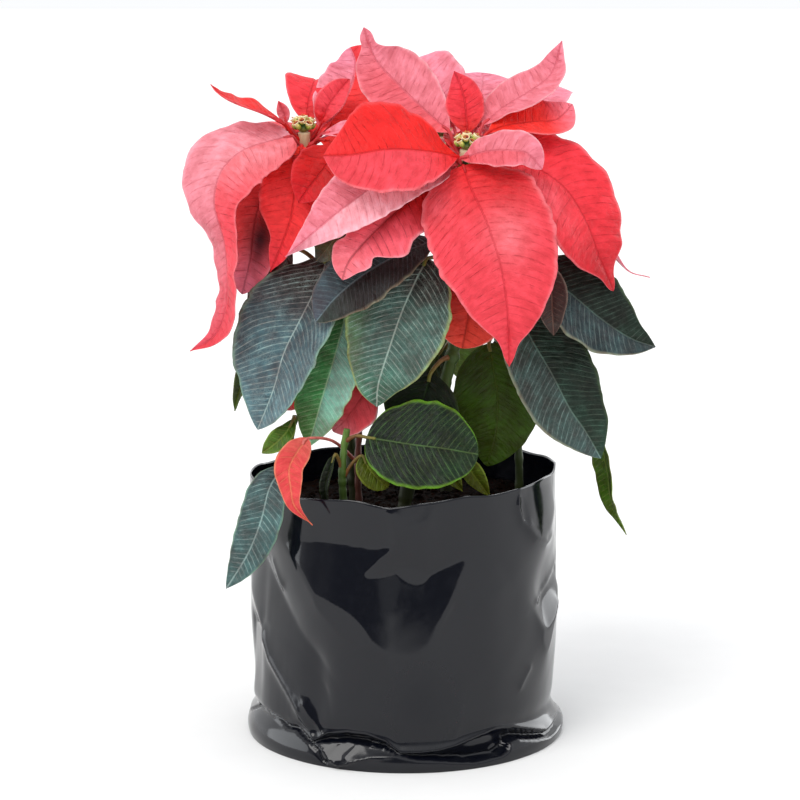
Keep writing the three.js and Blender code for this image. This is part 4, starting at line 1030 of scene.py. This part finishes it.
def stem_material():
    """Stems and stalks, streaked along and speckled."""
    g = material_graph("stem")
    place = g.place()
    streaks = g.noise(g.node("ShaderNodeMapping", {0: place, 3: (260, 260, 26)}), 1.0, 4.0, 0.6)
    shade = g.step(streaks, 0.35, 0.7, 1.1, 0.7)
    colour = g.shaded(g.attribute("tint", 0), shade, shade, shade)
    speckles = g.step(g.noise(place, 420.0), 0.62, 0.7, 0.0, 0.25)
    colour = g.blend(speckles, colour, g.attribute("rib", 0))
    return g.finish(Base_Color=colour, Roughness=g.step(streaks, 0.3, 0.7, 0.4, 0.6),
                    Specular_IOR_Level=0.35, Normal=g.bump(streaks, 0.5, 0.0008))


def film_material():
    """Glossy black polythene with slight wrinkles and duller patches."""
    g = material_graph("black_polythene")
    place = g.place()
    wrinkles = g.noise(g.node("ShaderNodeMapping", {0: place, 3: (1, 1, 0.5)}), 40.0, 2.0, 0.4)
    scuffs = g.noise(place, 230.0, 4.0, 0.65)
    dust = g.step(scuffs, 0.5, 0.85, 0.0, 0.3)
    colour = g.blend(dust, (0.0022, 0.0028, 0.006, 1), (0.009, 0.01, 0.015, 1))
    height = g.math("MULTIPLY_ADD", scuffs, 0.02, wrinkles)
    roughness = g.math("ADD", g.attribute("tint", 2), g.step(scuffs, 0.3, 0.75, 0.09, 0.15))
    return g.finish(Base_Color=colour, Roughness=roughness, Specular_IOR_Level=0.42,
                    Normal=g.bump(height, 0.18, 0.001))


def soil_material():
    """Damp peat compost: dark crumbs, fibres and a few paler bits."""
    g = material_graph("compost")
    place = g.place()
    crumbs = g.noise(place, 240.0, 6.0, 0.7)
    grains = g.node("ShaderNodeTexVoronoi", {"Vector": place, "Scale": 420.0})
    colour = g.blend(g.step(crumbs, 0.35, 0.7), (0.0012, 0.0004, 0.0002, 1), (0.013, 0.004, 0.0014, 1))
    paler = g.step(g.noise(place, 130.0), 0.7, 0.76, 0.0, 0.5)
    colour = g.blend(paler, colour, (0.05, 0.02, 0.008, 1))
    height = g.math("MULTIPLY_ADD", grains, -0.6, crumbs)
    return g.finish(Base_Color=colour, Roughness=g.step(crumbs, 0.3, 0.7, 0.75, 0.98),
                    Specular_IOR_Level=0.06, Normal=g.bump(height, 0.9, 0.0016))


def cyathia_material():
    """Waxy buds: green cups, yellow glands and red stamens, coloured point by point."""
    g = material_graph("cyathia")
    flecks = g.noise(g.place(), 1500.0, 3.0)
    shade = g.step(flecks, 0.35, 0.65, 0.75, 1.1)
    return g.finish(Base_Color=g.shaded(g.attribute("tint", 0), shade, shade, shade),
                    Roughness=g.step(flecks, 0.3, 0.7, 0.3, 0.45), Normal=g.bump(flecks, 0.3, 0.0003))


# ---------------------------------------------------------------- the plant


def leafy_stem(name, node, leaves, radius, rng):
    """A stem with its stalks as one piece, and its leaves as another, for one node."""
    if name == "low_red":
        stem, stalks, blade_name, material, slot = RED_STEM, RED_STALK, "_blades", BRACT, "bract"
    else:
        stem, stalks, blade_name, material, slot = GREEN_STEM, LEAF_STALK, "_leaves", LEAF, "leaf"
    stems = [stem_part(name, leaves, colours(stem))]
    blades = []
    for start, row in leaf_rows(name, leaves):
        stems.append(stalk(start, row, radius, LEAF_STALK_LIFT, colours(stalks)))
        blades.append(blade(row, LEAF_SLANT, rng))
    piece(node + "_stems", stems, STEM, node)
    piece(node + blade_name, blades, material, node)


def whorl(name, node, bracts, rng):
    """A whorl of bracts and the short flower stem under it."""
    curve, _ = stem_curve(name)
    tip = STEMS[name][2]
    heading = curve.tangent(1.0)
    top = curve.at(1.0) + heading * PIECE_GAP
    head = np.array(HEADS[name], float)
    peduncle = Curve([top, top + heading * PEDUNCLE_RISE, head])
    stems = [tube(peduncle, [tip, tip * PEDUNCLE_SWELL], colours(PEDUNCLE), 18, 14)]
    blades = []
    for row in bracts + [inner_bract(*row) for row in INNER_BRACTS[name]]:
        row = arched(row) if "start" in row else row
        height = (row["spine"][0][2] - top[2]) / (head[2] - top[2])
        climb = STALK_START + STALK_CLIMB * max(0, height - STALK_CLIMB_FROM)
        start = top + (head - top) * climb
        tint = [colour * STALK_SHADE for colour in colours(LOOKS[row["look"]][:2])]
        stems.append(stalk(start, row, BRACT_STALK_RADIUS, BRACT_STALK_LIFT, tint))
        blades.append(blade(row, BRACT_SLANT, rng))
    piece(node + "_stalks", stems, STEM, node)
    piece(node + "_blades", blades, BRACT, node)


# ---------------------------------------------------------------- cyathia


def turned(profile, at, axis, size=1, sides=14):
    """A surface of revolution about axis from at, with a radius, height and colour for each ring."""
    axis = unit(axis)
    across = unit(np.cross(axis, (0.31, 0.17, 0.93) if abs(axis[2]) < 0.9 else (1, 0.2, 0)))
    ring = spokes(axis, across, sides)
    points = [at + axis * (height * size) + ring * (radius * size) for radius, height, _ in profile]
    tint = np.repeat(colours(colour for *_, colour in profile), sides, axis=0)
    return part(np.vstack(points), ring_faces(len(profile), sides), tint)


def cyathium(at, axis, size, rng):
    """One cyathium: a green cup with a broad pale lip, a gland at its side and stamens in its mouth."""
    axis = unit(axis)
    parts = [turned(CUP, at, axis, size)]
    across = unit(np.cross(axis, rng.normal(size=3)))
    gland_at = at + axis * size * GLAND_HEIGHT + across * size * GLAND_REACH
    parts.append(turned(GLAND, gland_at, unit(axis * 0.6 + across), size))
    mouth = at + axis * size * MOUTH_HEIGHT
    for _ in range(STAMENS):
        lean = unit(axis + rng.normal(size=3) * 0.45)
        tip = mouth + lean * size * rng.uniform(0.5, 1.1)
        thread = Curve([mouth, (mouth + tip) / 2 + rng.normal(size=3) * 0.1, tip])
        parts.append(tube(thread, THREAD_RADII, colours(THREAD), 6, 4))
        parts.append(turned(ANTHER, tip, lean, sides=8))
    return parts


def cyathia(name, node, rng):
    """A cluster of cyathia on its flower stem: one upright, a ring of others leaning out, and buds."""
    curve, _ = stem_curve(name)
    head = np.array(HEADS[name], float)
    axis = unit(head - curve.at(1.0))
    base = head + axis * PIECE_GAP
    parts = [turned(CUSHION, base, axis, sides=20)]
    foot = base + axis * CUSHION_HEIGHT
    parts += cyathium(foot + axis * UPRIGHT_RISE, axis, max(CYATHIUM_SIZES), rng)
    for place in range(CYATHIA_ROUND):
        out = outward(2 * math.pi * (place + 0.82) / CYATHIA_ROUND)
        at = foot + out * CYATHIA_REACH + axis * CYATHIA_RISES[place % 2]
        size = rng.uniform(*CYATHIUM_SIZES)
        parts += cyathium(at, unit(axis + out * 0.7), size, rng)
    for place in range(BUDS):
        out = outward(2 * math.pi * (place + 0.3) / BUDS)
        at = foot + out * BUD_REACH - axis * BUD_DROP
        parts.append(turned(BUD, at, unit(axis * 0.8 + out), sides=12))
    piece(node + "_buds", parts, CYATHIA, node)


# ---------------------------------------------------------------- the grow bag and its soil


def rim_height(angle):
    """The height of the bag's rim at an angle in radians."""
    degrees, heights = np.array(RIM_LINE).T
    place = np.degrees(angle) % 360
    smoothed = [np.interp(place + shift, degrees, heights, period=360) for shift in (-3, 0, 3)]
    return sum(smoothed) / 3 + 0.4 * np.sin(9 * angle + 1) + 0.3 * np.sin(17 * angle + 2.3)


def bag_radius(angle, z):
    """The bag's radius as the frame has it: a flared foot, a neck above it and soft waves."""
    foot = FOOT_FLARE * np.exp(-(((z - FOOT_HEIGHT / 2) / FOOT_HEIGHT) ** 2))
    neck = NECK_DEPTH * np.exp(-(((z - NECK_HEIGHT) / NECK_SPAN) ** 2))
    bulge = BODY_BULGE * np.sin(np.pi * np.minimum(1, z / RIM_HEIGHT))
    return BAG_RADIUS + foot - neck + bulge + body_wave(angle, z)


def body_wave(angle, z):
    """The frame's soft waves round the bag."""
    return BODY_WAVE * np.sin(5 * angle + z / 34) * np.sin(np.pi * np.minimum(1, z / RIM_HEIGHT))


def on_film(points):
    """Points given as (degrees, height), in millimetres round the bag and up it."""
    points = np.array(points, float)
    return np.stack([np.radians(points[:, 0]) * BAG_RADIUS, points[:, 1]], axis=-1)


def fold_profile(points, left, right, s, z):
    """A ridge of height 1 along a line, which falls off over its two flanks and at its ends."""
    best = np.full(s.shape, 1e9)
    share = np.zeros(s.shape)
    side = np.zeros(s.shape)
    steps = np.linalg.norm(np.diff(points, axis=0), axis=1)
    before = np.concatenate([[0], np.cumsum(steps)])
    for start, end, step, done in zip(points, points[1:], steps, before):
        along = ((s - start[0]) * (end[0] - start[0]) + (z - start[1]) * (end[1] - start[1])) / step**2
        along = np.clip(along, 0, 1)
        away = s - start[0] - along * (end[0] - start[0]), z - start[1] - along * (end[1] - start[1])
        distance = np.hypot(*away)
        turn = (end[0] - start[0]) * away[1] - (end[1] - start[1]) * away[0]
        nearer = distance < best
        best = np.where(nearer, distance, best)
        side = np.where(nearer, turn, side)
        share = np.where(nearer, (done + along * step) / before[-1], share)
    width = np.where(side * np.sign(points[-1][1] - points[0][1] + 1e-6) > 0, left, right)
    fade = smooth(0, 0.15, share) * smooth(1, 0.85, share) * 0.8 + 0.2
    return fade * np.exp(-best / width)


def inside(points, s, z):
    """True where (s, z) lies inside the polygon."""
    found = np.zeros(s.shape, bool)
    for (s1, z1), (s2, z2) in zip(points, np.roll(points, -1, axis=0)):
        crosses = (z1 > z) != (z2 > z)
        reach = s1 + (z - z1) * (s2 - s1) / (z2 - z1 if z2 != z1 else 1e-9)
        found ^= crosses & (s < reach)
    return found


def blurred(grid, spread):
    """A grid of (angle, height) blurred by a bell curve; the angles go round."""
    reach = int(3 * spread) + 1
    weights = np.exp(-((np.arange(-reach, reach + 1) / spread) ** 2) / 2)
    weights /= weights.sum()
    round_it = sum(w * np.roll(grid, k, axis=0) for k, w in enumerate(weights, -reach))
    padded = np.pad(round_it, ((0, 0), (reach, reach)), mode="edge")
    count = grid.shape[1]
    return sum(w * padded[:, k:k + count] for k, w in enumerate(weights))


def settled(lean):
    """The inward relief: its rise up the film follows lean where that isn't 0, and else stays small."""
    z = np.arange(lean.shape[1])
    held = PANEL_HOLD + smooth(PANEL_START + 2, PANEL_START - 6, z) + RIM_HOLD * smooth(*RIM_ZONE, z)
    grip = PANEL_GRIP + (1 - PANEL_GRIP) * smooth(0.01, 0.05, lean[:, :-1])

    def pull(rise):
        flow = grip * rise
        return np.pad(flow, ((0, 0), (1, 0))) - np.pad(flow, ((0, 0), (0, 1)))

    def stiffness(relief):
        bend = 2 * relief - np.roll(relief, 1, axis=0) - np.roll(relief, -1, axis=0)
        return pull(np.diff(relief, axis=1)) + PANEL_STIFFNESS * bend + held * relief

    relief = np.zeros(lean.shape)
    rest = pull(lean[:, :-1])
    step = rest
    size = (rest * rest).sum()
    for _ in range(PANEL_STEPS):
        bent = stiffness(step)
        share = size / (step * bent).sum()
        relief = relief + share * step
        rest = rest - share * bent
        size, before = (rest * rest).sum(), size
        step = rest + size / before * step
    return relief


def film_relief(angle, rng):
    """How far the film stands out from the frame's radius, for each angle and millimetre of height."""
    a, z = np.meshgrid(angle, np.arange(FILM_HEIGHTS, dtype=float), indexing="ij")
    s = a * BAG_RADIUS
    lean = np.zeros(s.shape)
    for slope, points in PANELS:
        lean[inside(on_film(numbers(points)), s, z)] = slope
    relief = -blurred(settled(blurred(lean, PANEL_SPREAD / 2)), PANEL_SPREAD)
    left = np.exp(-(((a - math.radians(TAPER_ANGLE)) / TAPER_BREADTH) ** 2))
    relief -= BODY_TAPER * (0.35 + 0.65 * left) * smooth(80, 30, z) * smooth(12, 22, z)
    broad = Ripple(rng, 60)
    fine = Ripple(rng, 17)
    creases = BROAD_CREASES * broad(s, 0.6 * z) + FINE_CREASES * fine(s, 0.6 * z)
    relief += creases * (0.4 + 0.6 * smooth(0, 25, z))
    relief += overhang(a, z) - body_wave(a, z)
    for facet in TUCK_FACETS:
        corners = np.array([TUCK_CORNERS[corner] for corner in facet])
        outline = on_film(corners[:, :2])
        found = inside(outline, s, z)
        flat = np.linalg.solve(np.column_stack([outline, np.ones(3)]), corners[:, 2])
        tuck = BAG_RADIUS + flat[0] * s + flat[1] * z + flat[2] - bag_radius(a, z)
        relief[found] = tuck[found]
    for height, left, right, points in FOLDS:
        relief += height * fold_profile(on_film(numbers(points)), left, right, s, z)
    return np.clip(relief, -INWARD_LIMIT, OUTWARD_LIMIT)


def overhang(a, z):
    """The ring round the foot, the hollow above it, and the film's edge that hangs over the hollow."""
    table = np.array(OVERHANG).T
    low, high, depth = (np.interp(np.degrees(a) % 360, table[0], row, period=360) for row in table[1:])
    ring = (RING_RISE + RING_SHIFT * np.cos(a)) * smooth(low + 0.5, low - 1.5, z)
    hollow = np.clip((z - low) / 0.9, 0, 1) * np.clip((high - z) / (high - low), 0, 1)
    edge = OVERHANG_EDGE * np.exp(-(((z - high - 1) / 1.6) ** 2)) * np.clip((z - high) / 0.8 + 0.5, 0, 1)
    return ring - depth * hollow + edge * np.minimum(1, depth / 6)


def grow_bag(rng):
    """The bag: an outer skin with folds, an inner skin just inside its top part, and the rim between."""
    angle = np.linspace(0, 2 * math.pi, BAG_COLUMNS, endpoint=False)
    relief = film_relief(angle, rng)
    kept = np.flatnonzero((np.arange(BAG_COLUMNS) % BACK_STRIDE == 0) | (np.sin(angle) < 0.05))
    angle, relief = angle[kept], relief[kept]
    levels = np.concatenate([
        np.linspace(0, FOOT_BAND, FOOT_ROWS, endpoint=False),
        np.linspace(FOOT_BAND, TOP_BAND, BODY_ROWS, endpoint=False),
        np.linspace(TOP_BAND, 1, TOP_ROWS),
    ])
    level, around = np.meshgrid(levels, angle, indexing="ij")
    z = level * rim_height(around)
    heights = np.arange(FILM_HEIGHTS)
    stands_out = np.stack([np.interp(column, heights, row) for column, row in zip(z.T, relief)], axis=1)
    outer = bag_radius(around, z) + stands_out
    inner = np.flatnonzero(levels > INNER_SKIN)[::-1]
    bottom = outer[:1] * np.array([[0.02], [0.4], [0.8], [0.97]])
    radius = np.vstack([bottom, outer, outer[inner] - FILM_THICKNESS])
    height = np.vstack([np.zeros((4, len(angle))), z, z[inner]])
    turn = np.broadcast_to(angle, radius.shape)
    points = np.stack([radius * np.cos(turn), radius * np.sin(turn), height], axis=-1)
    faces = ring_faces(len(radius), len(angle))
    across = (np.degrees(turn) - SCUFF_ANGLE) / SCUFF_BREADTH
    along = (height - SCUFF_HEIGHT) / SCUFF_SPREAD
    dulled = SCUFFING * np.exp(-across**2 - along**2).reshape(-1, 1)
    piece("grow_bag_film", [part(points.reshape(-1, 3), faces, dulled)], FILM, "grow_bag")
    return angle, relief[:, SOIL_HEIGHT - 4:SOIL_HEIGHT + 4].min(axis=1)


def mound(turn, share):
    """The height of the soil at an angle and a share of its radius, as the frame has it."""
    return SOIL_HEIGHT + SOIL_RIPPLE * np.sin(3 * turn + 5 * share) * share + SOIL_MOUND * (1 - share)


def soil(film, rng):
    """Compost inside the film: a crumbly mound on a plain body, and loose crumbs on it."""
    angle = np.linspace(0, 2 * math.pi, SOIL_COLUMNS, endpoint=False)
    across, along = np.cos(angle), np.sin(angle)
    lumps = Ripple(rng, 22)
    grains = Ripple(rng, 6)
    edge = bag_radius(angle, SOIL_HEIGHT) + np.interp(angle, *film, period=2 * math.pi) - SOIL_GAP
    wall = bag_radius(angle, SOIL_HEIGHT - 10) - SOIL_INSET
    rings = [(wall * across, wall * along, np.full(SOIL_COLUMNS, height)) for height in SOIL_BODY]
    for share in np.linspace(1, 0.02, SOIL_ROWS):
        x, y = edge * share * across, edge * share * along
        rings.append((x, y, mound(angle, share) + SOIL_LUMPS * lumps(x, y) + SOIL_GRAINS * grains(x, y)))
    points = np.vstack([np.stack(ring, axis=-1) for ring in rings])
    parts = [part(points, ring_faces(len(rings), SOIL_COLUMNS), linear(SOIL_COLOUR))]
    for _ in range(SOIL_CRUMBS):
        reach = CRUMB_REACH * math.sqrt(rng.uniform(0, 1))
        turn = rng.uniform(0, 2 * math.pi)
        x, y = reach * math.cos(turn), reach * math.sin(turn)
        size = rng.uniform(*CRUMB_SIZES)
        z = mound(turn, reach / SOIL_REACH) + SOIL_LUMPS * float(lumps(x, y)) + 0.3 * size
        parts.append(crumb_part((x, y, z), size, rng))
    piece("compost", parts, SOIL, "soil")


def crumb_part(at, size, rng):
    """One rough crumb of compost."""
    rings = []
    squash = rng.uniform(0.55, 0.9)
    angles = np.linspace(0, 2 * math.pi, CRUMB_COLUMNS, endpoint=False)
    for latitude in np.linspace(-0.42, 0.42, CRUMB_ROWS) * math.pi:
        reach = size * math.cos(latitude) * rng.uniform(0.75, 1.25, CRUMB_COLUMNS)
        rise = size * squash * math.sin(latitude) * rng.uniform(0.8, 1.2, CRUMB_COLUMNS)
        rings.append(np.stack([reach * np.cos(angles), reach * np.sin(angles), rise], axis=-1) + at)
    return part(np.vstack(rings), ring_faces(CRUMB_ROWS, CRUMB_COLUMNS), linear(SOIL_COLOUR))


# ---------------------------------------------------------------- the studio


def studio():
    """A white floor, soft daylight from the upper left, and the photograph's camera."""
    scene = bpy.context.scene
    camera = bpy.data.cameras.new("camera")
    camera.lens = SENSOR * FOCAL_PIXELS / FRAME_PIXELS
    camera.sensor_width = SENSOR
    camera.clip_end = CLIP_END
    eye = bpy.data.objects.new("camera", camera)
    eye.location = [value * MM for value in EYE]
    eye.rotation_euler = (math.radians(90 - PITCH), 0, 0)
    scene.collection.objects.link(eye)
    scene.camera = eye
    scene.view_settings.view_transform = "Standard"

    mesh = bpy.data.meshes.new("floor")
    corners = [(x * FLOOR, y * FLOOR, 0) for x, y in ((-1, -1), (1, -1), (1, 1), (-1, 1))]
    mesh.from_pydata(corners, [], [(0, 1, 2, 3)])
    floor = bpy.data.objects.new("floor", mesh)
    scene.collection.objects.link(floor)
    g = material_graph("floor")
    colour = g.blend(g.noise(g.place(), 30.0, 3.0), *((grey, grey, grey, 1) for grey in FLOOR_GREYS))
    mesh.materials.append(g.finish(Base_Color=colour, Roughness=0.8))

    for name, strength, width, elevation, azimuth, colour, seen in SUNS:
        light = bpy.data.lights.new(name, "SUN")
        light.energy = strength
        light.angle = math.radians(width)
        light.color = colour
        lamp = bpy.data.objects.new(name, light)
        lamp.rotation_euler = (math.radians(90 - elevation), 0, math.radians(azimuth))
        lamp.visible_glossy = seen != "diffuse"
        lamp.visible_diffuse = seen != "glossy"
        scene.collection.objects.link(lamp)
    sky(scene)


def sky(scene):
    """A white surround that lights more from the sides and top than from the front."""
    scene.world = bpy.data.worlds.new("studio")
    g = Graph(scene.world)
    g.tree.nodes.clear()
    generated = g.node("ShaderNodeTexCoord")
    _, y, z = g.node("ShaderNodeSeparateXYZ", {0: generated}).node.outputs
    side = g.step(y, -0.75, 0.15, FRONT_LIGHT, SIDE_LIGHT)
    light = g.node("ShaderNodeMix", {0: g.step(z, 0.35, 0.9), 2: side, 3: TOP_LIGHT}, data_type="FLOAT")
    seen = g.node("ShaderNodeLightPath")
    strength = g.node("ShaderNodeMix", {0: seen, 2: light, 3: 1.0}, data_type="FLOAT")
    background = g.node("ShaderNodeBackground", {"Color": SURROUND, "Strength": strength})
    g.feed(g.tree.nodes.new("ShaderNodeOutputWorld").inputs[0], background)


# ---------------------------------------------------------------- everything together

BRACT = blade_material("bract", roughness=0.5, gloss=0.22, relief=0.8, waver=0.3, fineness=0.12,
                       faintest=0.1, mottle=0.1, pucker_shading=0.12, net=0.15)
LEAF = blade_material("leaf", roughness=0.36, gloss=0.2, relief=0.9, waver=0.15, fineness=0.17,
                      faintest=0.3, mottle=0.22, pucker_shading=0.08, net=0.26)
STEM = stem_material()
FILM = film_material()
SOIL = soil_material()
CYATHIA = cyathia_material()

rng = np.random.default_rng(SEED)
for stem, node, leaves, radius in (
    ("front", "leafy_stem_front", FRONT_LEAVES, 1.5),
    ("left", "leafy_stem_left", LEFT_LEAVES, 1.5),
    ("back", "leafy_stem_back", BACK_LEAVES, 1.5),
    ("right", "leafy_stem_right", RIGHT_LEAVES, 1.5),
    ("low_front", "low_shoot_front", LOW_FRONT_LEAVES, 1.2),
    ("low_left", "low_shoot_left", LOW_LEFT_LEAVES, 1.1),
    ("low_red", "low_shoot_red", LOW_BRACTS, 1.1),
):
    leafy_stem(stem, node, leaves, radius, rng)
for stem, bracts in (("front", FRONT_BRACTS), ("left", LEFT_BRACTS), ("back", BACK_BRACTS)):
    whorl(stem, "bracts_" + stem, bracts, rng)
for stem in HEADS:
    cyathia(stem, "cyathia_" + stem, rng)
film = grow_bag(rng)
soil(film, rng)
studio()
